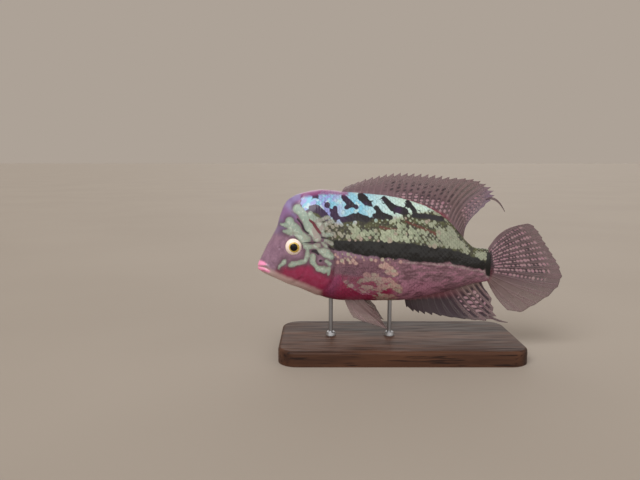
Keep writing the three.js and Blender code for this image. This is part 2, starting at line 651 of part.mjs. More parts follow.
const model = new THREE.Group();
for (const [name, solid] of Object.entries(solids)) model.add(meshOf(name, solid));
model.position.set(-TOTAL_LENGTH / 2, 0, AXIS_HEIGHT);
export default model;
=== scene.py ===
"""A life-size flowerhorn cichlid on its display stand: scaled skin, eyes, rayed fins, base and rods.

Lengths along the fish are in millimetres, counted back from the snout tip (x), out from its middle (y) and up
from its long axis (z), as a model maker would measure it. place() turns them into the frame's metres.
"""

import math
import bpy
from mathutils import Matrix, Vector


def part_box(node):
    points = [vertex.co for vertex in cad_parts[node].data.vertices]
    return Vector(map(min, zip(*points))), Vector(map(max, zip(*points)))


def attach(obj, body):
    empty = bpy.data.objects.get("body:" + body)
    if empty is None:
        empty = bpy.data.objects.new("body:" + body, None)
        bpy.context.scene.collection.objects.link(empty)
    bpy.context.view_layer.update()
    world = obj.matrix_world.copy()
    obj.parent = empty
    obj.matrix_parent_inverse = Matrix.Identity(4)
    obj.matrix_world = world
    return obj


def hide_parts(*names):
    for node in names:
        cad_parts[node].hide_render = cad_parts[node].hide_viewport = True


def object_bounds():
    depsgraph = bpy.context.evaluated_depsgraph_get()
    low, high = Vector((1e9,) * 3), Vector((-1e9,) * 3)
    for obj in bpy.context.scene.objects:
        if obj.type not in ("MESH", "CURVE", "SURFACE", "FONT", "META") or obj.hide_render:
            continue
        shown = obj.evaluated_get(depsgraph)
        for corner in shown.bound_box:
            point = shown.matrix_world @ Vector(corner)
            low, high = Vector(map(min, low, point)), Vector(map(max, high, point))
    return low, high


bl_info = {
    "name": "Flowerhorn Cichlid Model",
    "version": (1, 0, 0),
    "blender": (4, 5, 0),
    "location": "View3D > Sidebar > Flowerhorn",
    "description": "Builds a life-size flowerhorn cichlid on a display stand",
    "category": "Add Mesh",
}

import bmesh
import bpy
import numpy as np
from mathutils import Matrix, Vector

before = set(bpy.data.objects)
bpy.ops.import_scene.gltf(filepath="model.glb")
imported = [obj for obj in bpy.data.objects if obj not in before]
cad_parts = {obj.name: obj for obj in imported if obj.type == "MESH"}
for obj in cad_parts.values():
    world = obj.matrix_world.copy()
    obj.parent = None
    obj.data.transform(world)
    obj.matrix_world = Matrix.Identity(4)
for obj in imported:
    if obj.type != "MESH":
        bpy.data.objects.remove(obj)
CAD_BOX = [list(corner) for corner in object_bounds()]

# The fish's driving sizes, which the solids share
MM = 0.001
BODY_LENGTH = 190.4
TOTAL_LENGTH = 251.5
EYE_AT = (30.3, 16.8)
NOSTRIL_AT = (18.6, 15.4)
GILL_FLARE = 0.9
ROOT_DEPTH = 2.2
FIN_FILM = 0.24
EYE_INSET = (0.3, 0.5, 0.3)
ROD_SUNK = 0.3
ROD_TUCKED = 1.2
EYE_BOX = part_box("eye_right")
SNOUT_X = CAD_BOX[0][0]
AXIS_Z = (EYE_BOX[0].z + EYE_BOX[1].z) / 2 - EYE_AT[1] * MM

# The camera looks a little down on the fish's left side.
CAMERA_DISTANCE = 0.493
CAMERA_DOWN = math.radians(7.5)
CAMERA_LENS = 33.75
CAMERA_AIM = (51.0, 0.0, 20.2)
CAMERA_WAY = np.array([0, math.cos(CAMERA_DOWN), -math.sin(CAMERA_DOWN)])
CAMERA_UP = np.array([0, math.sin(CAMERA_DOWN), math.cos(CAMERA_DOWN)])


def place(points):
    """Fish millimetres to the frame's metres."""
    return np.asarray(points, float) * MM + (SNOUT_X, 0.0, AXIS_Z)


def paint(red, green, blue, alpha=1.0):
    """A colour as a painter reads it off a chart (0 to 255) in the light values that shaders use."""
    chart = [value / 255 for value in (red, green, blue)]
    return (*[v / 12.92 if v < 0.04045 else ((v + 0.055) / 1.055) ** 2.4 for v in chart], alpha)


# Smooth curves and soft steps
def profile(stations):
    """A smooth function through (position, value) stations, with no overshoot between them."""
    at, values = np.array(stations, float).T
    steps = np.diff(at)
    rises = np.diff(values) / steps
    slopes = np.concatenate([rises[:1], np.zeros(len(at) - 2), rises[-1:]])
    turning = rises[:-1] * rises[1:] <= 0
    sums = np.where(turning, 1.0, rises[:-1] + rises[1:])
    slopes[1:-1] = np.where(turning, 0.0, 2 * rises[:-1] * rises[1:] / sums)

    def value(x):
        x = np.clip(x, at[0], at[-1])
        i = np.clip(np.searchsorted(at, x, side="right") - 1, 0, len(steps) - 1)
        h = steps[i]
        s = (x - at[i]) / h
        return (
            (2 * s**3 - 3 * s**2 + 1) * values[i]
            + (s**3 - 2 * s**2 + s) * h * slopes[i]
            + (3 * s**2 - 2 * s**3) * values[i + 1]
            + (s**3 - s**2) * h * slopes[i + 1]
        )

    return value


def ease(value, low, high):
    """0 up to low, 1 from high on, and a soft step between."""
    s = np.clip((value - low) / (high - low), 0, 1)
    return s * s * (3 - 2 * s)


def fade(value, low, high):
    """1 up to low, 0 from high on, and a soft step between."""
    return 1 - ease(value, low, high)


def span(value, rise, full, fall, end):
    """A soft step up from rise to full, and down again from fall to end."""
    return ease(value, rise, full) * fade(value, fall, end)


def swell(distance, width):
    """A soft bump, 1 at no distance and 0 from width on."""
    return fade(np.abs(distance), 0, width)


def least(*values):
    """The smallest of several values at each point, such as how far inside several borders it lies."""
    return np.min(np.broadcast_arrays(*values), axis=0)


def unit(vectors):
    """The same directions at length 1."""
    return vectors / np.maximum(np.linalg.norm(vectors, axis=-1, keepdims=True), 1e-9)


# The body's outline from the side and from above, as in the solids
top = profile([
    (0, 0.6), (1, 3.4), (2.6, 6.4), (7.6, 16.6), (12.2, 24.4), (15.5, 31), (18.4, 41), (21, 47.6), (25, 53),
    (31.6, 57), (40, 59.4), (50, 60.6), (67, 60), (85, 58.6), (104, 56.8), (120, 53.8), (135, 49), (147, 43),
    (157, 35.4), (165, 26.6), (172, 18.4), (179, 13.8), (BODY_LENGTH, 12.8),
])
bottom = profile([
    (0, -3.2), (4.2, -6.7), (8.2, -8.6), (14, -11.2), (23.3, -15.4), (37.6, -20.4), (48.5, -24.6),
    (58, -27.8), (68, -29.4), (84, -29.8), (108, -29.9), (120, -29.7), (135, -27), (152, -23.4),
    (165, -19.8), (178, -16), (BODY_LENGTH, -14),
])
half_width = profile([
    (0, 3.4), (3, 6.2), (8, 9), (14, 11.8), (20, 14), (28, 16.4), (40, 19), (55, 20.8), (70, 21.4), (90, 21),
    (110, 19.4), (130, 16.4), (150, 12.4), (165, 9.2), (178, 6.4), (BODY_LENGTH, 3.6),
])
waist = profile([
    (0, -1.4), (8, -1), (20, 1.5), (32, 4), (60, 5), (110, 5), (150, 2), (BODY_LENGTH, -0.6),
])
back_fullness = profile([
    (0, 2), (15, 2.1), (30, 2.5), (50, 2.45), (75, 2.05), (120, 1.8), (165, 1.8), (BODY_LENGTH, 2.2),
])
belly_fullness = profile([(0, 2), (20, 2.2), (60, 2.35), (110, 2.2), (135, 1.8), (BODY_LENGTH, 2.2)])
gill_flare = profile([(30, 0), (48, 0.75), (62, 1), (72, 1)])


def signed_power(value, power):
    return np.sign(value) * np.abs(value) ** power


def half_ring(x, upper):
    """The middle of the ring at x, and the reach and fullness of its upper or lower half."""
    middle = waist(x)
    reach = np.where(upper, top(x) - middle, middle - bottom(x))
    return middle, reach, np.where(upper, back_fullness(x), belly_fullness(x))


def skin_point(x, angle):
    """A point of the bare body in the ring at x; angle 0 is the fish's right, a quarter turn its back."""
    middle, reach, fullness = half_ring(x, np.sin(angle) >= 0)
    across = half_width(x) * signed_power(np.cos(angle), 2 / fullness)
    return np.stack([x, across, middle + reach * signed_power(np.sin(angle), 2 / fullness)], axis=-1)


def side_at(x, z):
    """How far out the bare body is at a height, on the fish's right."""
    middle, reach, fullness = half_ring(x, z >= waist(x))
    share = np.clip(np.abs(z - middle) / reach, 0, 1)
    return half_width(x) * (1 - share**fullness) ** (1 / fullness)


# Lines and marks drawn on the fish's side
def nearest_on(x, z, start, end):
    """How far along a straight piece (0 to 1) its nearest place to each point is, and how far away."""
    dx, dz = end[0] - start[0], end[1] - start[1]
    along = np.clip(((x - start[0]) * dx + (z - start[1]) * dz) / max(dx * dx + dz * dz, 1e-9), 0, 1)
    return along, np.hypot(x - start[0] - along * dx, z - start[1] - along * dz)


def line_distance(x, z, line):
    """Signed distance from a drawn line: positive on the left of its way."""
    best = np.full(np.shape(x), 1e9)
    side = np.ones(np.shape(x))
    for start, end in zip(line, line[1:]):
        away = nearest_on(x, z, start, end)[1]
        turn = (end[0] - start[0]) * (z - start[1]) - (end[1] - start[1]) * (x - start[0])
        side = np.where(away < best, np.sign(turn), side)
        best = np.minimum(best, away)
    return best * side


def within(x, z, strokes):
    """How far inside the nearest stroke (of x, z and radius) a point lies, in mm and negative outside."""
    inside = np.full(np.shape(x), -50.0)
    for stroke in strokes:
        for start, end in zip(stroke, stroke[1:] or stroke):
            along, away = nearest_on(x, z, start, end)
            inside = np.maximum(inside, start[2] + (end[2] - start[2]) * along - away)
    return inside


GILL_SLIT = [
    (66, 74), (62.5, 55), (57, 36), (53.5, 24), (58, 14), (62, 2), (60, -10), (53, -20), (47, -27), (44, -36),
]
CHEEK_LINE = [(46, 21), (42.5, 14), (41, 4), (37, -7), (29, -13), (22, -12)]
PORES = [
    (24, -11.5), (28.6, -13.6), (33.4, -12.2), (37.8, -8.4), (40.6, -2.4), (21.4, 21), (18.2, 8.6),
    (15.4, 6.4),
]
MOUTH_LINE = [(-6, -1.2), (3, -0.8), (7, -1.2), (10.4, -3.2), (12.4, -5.6)]
MOUTH_FOLD = [(9.4, 5.2), (13, 2.6), (15.6, -1.4), (16.2, -5)]

# Marks of the side as they show to a viewer at the camera's place, in fish millimetres
HEAD_STROKES = [
    [(25.4, 36.8, 2.6), (27.6, 31.6, 4.0), (32.8, 26.6, 4.3), (38.6, 20.8, 4.1)],
    [(19.4, 33.6, 1.2), (25, 31.6, 2.4)],
    [(20.4, 27.4, 0.9), (27.5, 26.2, 2.0)],
    [(32.8, 46, 3.0), (37, 39.4, 3.8), (42.4, 31.4, 3.8), (47.6, 21.8, 3.7)],
    [(42.8, 40.6, 2.8), (48.6, 35.2, 3.4), (52.8, 29.6, 2.7)],
    [(52.6, 36.4, 1.7), (57.4, 38.6, 1.8)],
    [(56.4, 32.6, 1.9), (60.6, 35.4, 1.7)],
    [(53.6, 25.2, 1.9), (60.8, 24.4, 2.1)],
    [(54.8, 20.2, 1.6), (60, 17.6, 1.7)],
    [(39.4, 14.6, 2.0), (44, 14.4, 2.2), (49.4, 15.2, 2.1)],
    [(41.4, 13.4, 1.5), (41.2, 8.4, 1.6), (39.4, 3.6, 1.8), (33, 1.2, 2.0), (27.6, 0.2, 1.8)],
    [(52.4, 17.4, 1.1), (55.6, 14.4, 1.6)],
    [(51.6, 11.2, 2.2), (56.4, 9.2, 3.0), (60.8, 6.8, 2.2)],
    [(45, 6.2, 2.4), (45.4, 1.4, 2.7), (48.6, -2.2, 2.7), (54.2, -3.6, 2.5), (58.6, -3.4, 1.8),
     (58.8, -7, 1.2)],
    [(55.4, 2.4, 1.4), (59.4, 0.4, 1.8)],
    [(17.6, -2.7, 1.2), (20.6, 0.2, 1.8), (22.2, 2.6, 1.9)],
]
DARK_SLITS = [
    [(31.8, 37, 0.7), (37, 31, 0.9), (42.2, 25.2, 0.6)],
    [(35.4, 17.8, 0.5), (42, 18, 0.5), (48.6, 18.4, 0.6)],
    [(45.2, 10.4, 1.0), (48.4, 10.6, 1.6), (49.6, 8.6, 1.1)],
    [(51.8, 3.6, 1.0), (54.8, 4.4, 0.9)],
    [(51.4, 22.8, 0.8), (57.6, 21.2, 0.7)],
    [(57.4, 14.4, 1.0), (61.4, 12.4, 0.9)],
]
RED_SLITS = [[(42.4, 36.4, 0.9), (46, 31.8, 1.5), (50.6, 27, 1.1)]]
# Blue-grey patches of the forehead, partly painted highlight: the two patches on the hump's front stand for
# light reflected off the wet skin
BLUE_HAZE_AND_SHEEN = [
    [(24.6, 50, 2.8), (27.2, 46.6, 2.2)],
    [(29.4, 55, 2.0), (33.2, 57, 1.8)],
    [(18.4, 35.4, 1.8), (20.4, 30, 1.4)],
]
WINDOWS = [
    [(46.4, 55.2, 1.3), (49, 55.8, 1.1)],
    [(43.2, 46.8, 1.5), (48.6, 46.4, 2.6), (54.2, 40.6, 3.0), (56.6, 36, 1.4)],
    [(57, 48.8, 2.5)],
    [(63.4, 46.4, 1.9), (62.6, 41.2, 3.2)],
    [(70.2, 56, 1.8), (76.2, 49.4, 2.8), (72.6, 46.8, 1.7)],
    [(80.8, 47.2, 1.9)],
    [(84.4, 56.4, 2.6), (90.6, 50.6, 2.4)],
    [(70, 36.6, 2.4), (80, 39, 3.0), (89.4, 37.4, 2.6)],
    [(97, 46.9, 1.8), (101.6, 41, 2.2), (109, 38.6, 2.0)],
    [(95.6, 40.4, 1.6), (103.4, 38.2, 1.8)],
    [(103.4, 54.4, 1.8), (110.8, 46.6, 3.0), (120.6, 43.4, 3.0)],
    [(123, 51.8, 1.6), (128.2, 44.6, 2.0)],
    [(128.4, 40.4, 2.2), (141, 39.2, 2.0), (150.4, 37.6, 2.2)],
]
OLIVE_GAPS = [
    [(67.6, 29.4, 2.4), (76, 25.6, 1.6)],
    [(86, 31.2, 2.6), (100, 32, 3.0), (112, 31, 2.4)],
    [(118, 35.4, 2.0), (130, 32.6, 2.2), (146, 27.4, 1.8)],
]
RUST_SPOTS = [
    [(77.4, 25.6, 1.2), (80, 24.8, 1.0)],
    [(100.6, 30.8, 1.0), (107, 29.2, 1.1), (115.4, 28.6, 0.9)],
    [(121.6, 35.4, 0.7), (134, 30.4, 1.1), (146.6, 25, 1.2)],
]
BLACK_BAND = [
    [(65, 16, 4.2), (78, 14.4, 5.2), (90, 12.8, 6.6), (112, 11.6, 6.9), (126, 10.2, 7.4), (141, 8.2, 6.6),
     (160, 6.6, 5.8), (172, 3, 4.9), (184, -0.2, 4.2)],
    [(191, 6.6, 3.8), (191, -5.6, 3.8)],
]
BAND_RIM = [
    [(62, 8.6, 1.6), (66, 5.6, 2.0), (72, 7.4, 1.6), (80, 7.2, 1.8), (84, 5, 1.2), (96, 3.4, 1.2),
     (106, 4.4, 1.8), (116, 4.2, 2.4), (120, 2, 1.2)],
    [(66, 2.4, 1.4), (74, 2.8, 1.6), (80, 2, 1.4)],
]
BELLY_PEARLS = [
    [(84, -13, 2.2), (90, -10, 2.4), (98, -10.6, 2.2)],
    [(73.6, -15, 1.4), (76.4, -18, 1.4), (80, -20, 1.2)],
    [(86, -20.4, 2.2), (92, -20.2, 2.2)],
    [(98, -16, 2.4), (106, -14, 2.6), (113, -17, 2.4), (116, -22, 2.0)],
    [(99, -21.6, 1.6), (104, -18.6, 1.8)],
    [(98, -26.6, 2.2), (106, -27.6, 2.2), (112, -26.6, 1.8)],
    [(103, 0, 2.0), (106, -4, 2.6), (112, -7, 2.0)],
]
LIP_PINK = [
    [(0.6, 1.4, 2.6), (4.2, 1.0, 1.7), (6.6, 0.4, 0.6)],
    [(1.4, -3.4, 1.8), (5.2, -4.2, 1.5), (9, -5.4, 0.8)],
]
GILL_FLUSH = [[(66, -3, 3), (65, -12, 4), (60, -22, 4)]]
BLUE_RING = (80.8, 47.2)
PLAIN_MARKS = {"gill_flush": GILL_FLUSH, "rust": RUST_SPOTS, "lip": LIP_PINK}
WAVY_MARKS = {
    "band": BLACK_BAND, "stroke": HEAD_STROKES, "slit": DARK_SLITS, "red_slit": RED_SLITS, "haze": BLUE_HAZE_AND_SHEEN,
}

# Soft borders of the ground colours, from the snout back
crimson_top = profile([
    (12, -7), (18, -2.4), (24, -0.8), (34, 0.6), (46, 0.6), (60, -3), (68, -6), (84, -9.4),
    (110, -11), (150, -16),
])
band_middle = profile([(58, 15), (90, 11.4), (126, 9.8), (141, 7.4), (160, 6.2), (172, 2.4), (186, -1)])
aqua_floor = profile([
    (30, 43), (44, 42), (56, 38), (70, 34), (84, 35), (100, 37), (130, 42), (146, 45), (160, 60),
])
nape_front = profile([
    (14, 60), (22, 57), (28, 54), (34, 52), (40, 47.6), (46, 38.5), (52, 36.4), (56, 37.4), (58, 45),
    (59.4, 58), (60.6, 68),
])
AQUA_END = 158

# Parts of the side with straight soft borders: from x, to x, from z and to z
PARTS = {
    "hump": (-99, 70, 33, 99),
    # The brow part carries a painted sheen: its blue-grey stands for light reflected off the forehead's front
    # edge
    "brow": (-99, 31, 26, 99),
    "rear": (112, 999, -99, 3),
    "mauve": (62, 999, -9, 5),
}
WAVER, WAVER_PITCH = 1.3, 5.0


def aqua_inside(x, z):
    """How far inside the turquoise plates of the upper flank a drawn point lies."""
    return np.minimum(z - aqua_floor(x), AQUA_END - x)


def behind_nape(x, z):
    """How far behind the front of the scaled nape a drawn point lies."""
    return x - nape_front(z)


def scaled_part(behind_gill, z):
    """Where the body has scales: behind the gill covers, and further forward over the nape."""
    return ease(behind_gill + 14 * ease(z, 26, 38), -1, 2)


def seen_from_front(points):
    """Where each point shows on the fish's side to a viewer at the camera's place, in fish millimetres."""
    distance = CAMERA_DISTANCE / MM
    away = points * (1, 0, 1) - (0, 1, 0) * np.abs(points) - CAMERA_AIM + distance * CAMERA_WAY
    spread = distance / (away @ CAMERA_WAY)
    return away[..., 0] * spread + CAMERA_AIM[0], (away @ CAMERA_UP) * spread + CAMERA_AIM[2]


# Scales lie in staggered rows, each over the front of the next. A lattice holds how many scales a point is
# from the snout (along) and from the middle of the flank (round), and the size of a scale there (pitch).
SCALE_PITCH = 4.6
SCALE_REACH = 0.74
scale_size = profile([(30, 0.84), (60, 1), (120, 0.96), (165, 0.74), (BODY_LENGTH, 0.6)])


def nearby_scales(along, round_):
    """The numbers (from the snout, from the flank's middle) of the six scales round each point."""
    nearest = np.round(round_ / 0.5).astype(int)
    for step in (-1, 0, 1):
        row = nearest + step
        shift = 0.5 * (row % 2)
        for ahead in (0, 1):
            yield np.floor(along - shift) + shift + ahead, row


def topmost_scale(along, round_):
    """How far along its topmost scale each point is (0 to 1), and how near its free edge (pitches)."""
    first = np.full(np.shape(along), 1e9)
    row_of = np.zeros(np.shape(along), int)
    for centre, row in nearby_scales(along, round_):
        on_it = np.hypot(along - centre, round_ - row * 0.5) < SCALE_REACH
        wins = on_it & (centre < first)
        first = np.where(wins, centre, first)
        row_of = np.where(wins, row, row_of)
    out, up = along - first, round_ - row_of * 0.5
    return (out + SCALE_REACH) / (2 * SCALE_REACH), SCALE_REACH - np.hypot(out, up)


def drawn_steps(x, z, along, round_):
    """How far one scale's pitch, back and round, moves a point on the drawn side (mm)."""
    per_ring, per_column = np.gradient(along, axis=0), np.gradient(round_, axis=1)
    per_ring = np.where(np.abs(per_ring) < 1e-4, 1e-4, per_ring)
    per_column = np.where(np.abs(per_column) < 1e-4, 1e-4, per_column)
    steps = []
    for drawn in (x, z):
        round_step = np.gradient(drawn, axis=1) / per_column
        along_step = (np.gradient(drawn, axis=0) - np.gradient(round_, axis=0) * round_step) / per_ring
        steps.append((np.clip(along_step, -6, 6), np.clip(round_step, -6, 6)))
    return steps


def pearl_share(x, z, chance):
    """How wide the pearl of a scale at a drawn place is, as a share of the scales' pitch."""
    plated = ease(aqua_inside(x, z), -1.0, 2.0)
    merged = ease(x, 128, 170)
    veins = smooth_noise(np.stack([x, 0 * x, z], -1), 5.5, 7)
    flank = 0.3 + 0.16 * chance[..., 0] + 0.04 * merged - 0.07 * fade(x, 62, 78)
    flank = flank + (0.14 + 0.3 * merged) * veins
    plate = 0.51 + 0.14 * chance[..., 1] + 0.12 * veins
    upper = flank * (1 - plated) + plate * plated
    upper = upper * ease(z - band_middle(x), 0, 1.5) * ease(behind_nape(x, z), -1.5, 1.5)
    upper = upper * (1 - 0.7 * ease(z - top(x), -5.5, -2) * ease(x, 150, 160))
    under = (0.3 * chance[..., 1] + 0.18) * ease(within(x, z, BELLY_PEARLS), -2.0, 0.4)
    rim = (0.2 + 0.2 * chance[..., 1]) * ease(within(x, z, BAND_RIM), -1.2, 0.4)
    windows = within(x, z, WINDOWS) + 0.6 - 0.5 * ease(x, 85, 105)
    dark = ease(np.maximum(windows, within(x, z, BLACK_BAND)), -1.0, 0.6)
    gaps = 0.7 * ease(within(x, z, OLIVE_GAPS), -1.8, 0.8)
    share = np.maximum(upper * (1 - gaps), np.maximum(under, rim))
    return share * (1 - dark) - 0.34 * dark


def pearls(x, z, along, round_, pitch):
    """How far inside a pearl each point lies (mm), and that pearl's own tint (0 to 1)."""
    draws = np.random.default_rng(11).random((64, 96, 4))
    (x_along, x_round), (z_along, z_round) = drawn_steps(x, z, along, round_)
    inside = np.full(np.shape(along), -9.0)
    tint = np.zeros(np.shape(along))
    for centre, row in nearby_scales(along, round_):
        chance = draws[(centre * 2).astype(int) % 64, row % 96]
        back = along - centre - 0.34 * (chance[..., 2] - 0.5)
        side = round_ - row * 0.5 - 0.26 * (chance[..., 3] - 0.5)
        share = pearl_share(x - back * x_along - side * x_round, z - back * z_along - side * z_round, chance)
        depth = (share - np.hypot(back * (1 - 0.35 * ease(-z, -4, 2)), side)) * pitch
        tint = np.where(depth > inside, chance[..., 2], tint)
        inside = np.maximum(inside, depth)
    return np.minimum(inside, -within(x, z, WINDOWS)), tint


# Shapes that close round on themselves. Corners closer than MERGE (m) become one.
MERGE, SLIVER = 2e-6, 1e-7


def wrapped_sheet(bm, points, marks):
    """Adds a sheet whose rows of points each join up round the shape; a row shrunk to a point closes it."""

    def looped(values):
        return np.concatenate([values, values[:, :1]], axis=1).reshape(-1, *values.shape[2:]).tolist()

    rows, around = points.shape[:2]
    start = len(bm.verts)
    bmesh.ops.create_grid(bm, x_segments=around, y_segments=rows - 1, size=1)
    floats = bm.verts.layers.float
    layers = {name: floats.get(name) or floats.new(name) for name in marks}
    columns = [(layers[name], looped(mark)) for name, mark in marks.items()]
    bm.verts.ensure_lookup_table()
    for i, co in enumerate(looped(place(points))):
        vert = bm.verts[start + i]
        vert.co = co
        for layer, values in columns:
            vert[layer] = values[i]


def finished(name, bm, material, replaces, slot, merge=MERGE, crisp=None):
    """Turns a bmesh into a finished piece that stands for its solids, with edges sharper than crisp kept."""
    bmesh.ops.remove_doubles(bm, verts=bm.verts, dist=merge)
    bmesh.ops.dissolve_degenerate(bm, edges=bm.edges, dist=SLIVER)
    bmesh.ops.recalc_face_normals(bm, faces=bm.faces)
    for face in bm.faces:
        face.smooth = True
    if crisp:
        for edge in bm.edges:
            edge.smooth = edge.calc_face_angle(0) < crisp
    mesh = bpy.data.meshes.new(name)
    bm.to_mesh(mesh)
    bm.free()
    mesh.materials.append(material)
    piece = bpy.data.objects.new(name, mesh)
    bpy.context.scene.collection.objects.link(piece)
    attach(piece, "root")
    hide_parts(*replaces)


# Wiring of materials
class Wiring:
    """A node tree being wired: each call adds a node and gives its output. Colours may go by their names."""

    def __init__(self, tree, colours=None):
        self.tree = tree
        self.colours = colours

    def feed(self, node, inputs):
        for name, value in inputs.items():
            if isinstance(value, bpy.types.NodeSocket):
                self.tree.links.new(value, node.inputs[name])
            elif isinstance(value, str):
                node.inputs[name].default_value = getattr(self.colours, value)
            else:
                node.inputs[name].default_value = value

    def node(self, kind, inputs=None, **settings):
        node = self.tree.nodes.new(kind)
        for name, value in settings.items():
            setattr(node, name, value)
        self.feed(node, inputs or {})
        return node

    def attribute(self, name):
        return self.node("ShaderNodeAttribute", attribute_name=name).outputs["Fac"]

    def object_place(self):
        return self.node("ShaderNodeTexCoord").outputs["Object"]

    def stretched(self, scale):
        return self.node("ShaderNodeMapping", {"Vector": self.object_place(), "Scale": scale}).outputs[0]

    def noise(self, scale, detail=3.0, roughness=0.55, vector=None, distortion=0.0):
        inputs = {"Scale": scale, "Detail": detail, "Roughness": roughness, "Distortion": distortion}
        inputs["Vector"] = vector or self.object_place()
        return self.node("ShaderNodeTexNoise", inputs).outputs["Fac"]

    def math(self, operation, first, second):
        return self.node("ShaderNodeMath", {0: first, 1: second}, operation=operation).outputs[0]

    def times(self, first, second):
        return self.math("MULTIPLY", first, second)

    def most(self, first, *others):
        for other in others:
            first = self.math("MAXIMUM", first, other)
        return first

    def ramp(self, value, low, high, to_low=0.0, to_high=1.0):
        inputs = {"Value": value, "From Min": low, "From Max": high, "To Min": to_low, "To Max": to_high}
        return self.node("ShaderNodeMapRange", inputs, interpolation_type="SMOOTHSTEP").outputs[0]

    def blend(self, share, below, above, way="MIX"):
        inputs = {0: share, 6: below, 7: above}
        return self.node("ShaderNodeMix", inputs, data_type="RGBA", blend_type=way).outputs[2]

    def tinted(self, colour, *tints):
        """A colour with others laid over it in turn, each given after its share."""
        for share, tint in tints:
            colour = self.blend(share, colour, tint)
        return colour

    def bump(self, height, strength, distance):
        inputs = {"Height": height, "Strength": strength, "Distance": distance}
        return self.node("ShaderNodeBump", inputs).outputs[0]

    def group(self, tree, inputs):
        return self.node("ShaderNodeGroup", inputs, node_tree=tree).outputs


def shared_group(name, inputs, outputs, wire):
    """The shader node group of that name. When first asked for, wire() gives its outputs' values by name."""
    if name in bpy.data.node_groups:
        return bpy.data.node_groups[name]
    tree = bpy.data.node_groups.new(name, "ShaderNodeTree")
    for label, default in inputs.items():
        socket = tree.interface.new_socket(label, in_out="INPUT", socket_type="NodeSocketFloat")
        socket.default_value = default
    for label in outputs:
        tree.interface.new_socket(label, in_out="OUTPUT", socket_type="NodeSocketFloat")
    wiring = Wiring(tree)
    given = wiring.node("NodeGroupInput").outputs
    wiring.feed(wiring.node("NodeGroupOutput"), wire(wiring, given))
    return tree


def ragged_edge_group():
    """The soft, uneven edge of a mark, from how far inside it a point lies (mm)."""

    def wire(wiring, given):
        noise = wiring.noise(given["Wobble Scale"], 2.0)
        shift = wiring.times(wiring.math("SUBTRACT", noise, 0.5), given["Wobble"])
        edge = wiring.math("ADD", given["Inside"], shift)
        low = wiring.times(given["Softness"], -1.0)
        return {"Mask": wiring.ramp(edge, low, given["Softness"])}

    inputs = {"Inside": 0.0, "Softness": 0.4, "Wobble": 1.2, "Wobble Scale": 420.0}
    return shared_group("Ragged Edge", inputs, ["Mask"], wire)


def wet_skin_group():
    """Fine pores and slime unevenness of a wet skin, as a height, with a little change of gloss."""

    def wire(wiring, given):
        pores = wiring.noise(given["Pore Scale"], 2.0)
        slime = wiring.noise(given["Slime Scale"], 3.0)
        uneven = wiring.times(wiring.math("SUBTRACT", slime, 0.5), 0.2)
        return {
            "Height": wiring.math("ADD", wiring.times(pores, 0.35), slime),
            "Roughness": wiring.math("ADD", given["Gloss"], uneven),
        }

    inputs = {"Pore Scale": 1500.0, "Slime Scale": 160.0, "Gloss": 0.3}
    return shared_group("Wet Skin", inputs, ["Height", "Roughness"], wire)


def new_material(name, colours, shader):
    """A material with its Principled shader set, and the wiring of its tree."""
    material = bpy.data.materials.new(name)
    material.use_nodes = True
    wiring = Wiring(material.node_tree, colours)
    surface = material.node_tree.nodes["Principled BSDF"]
    wiring.feed(surface, shader)
    return material, wiring, surface


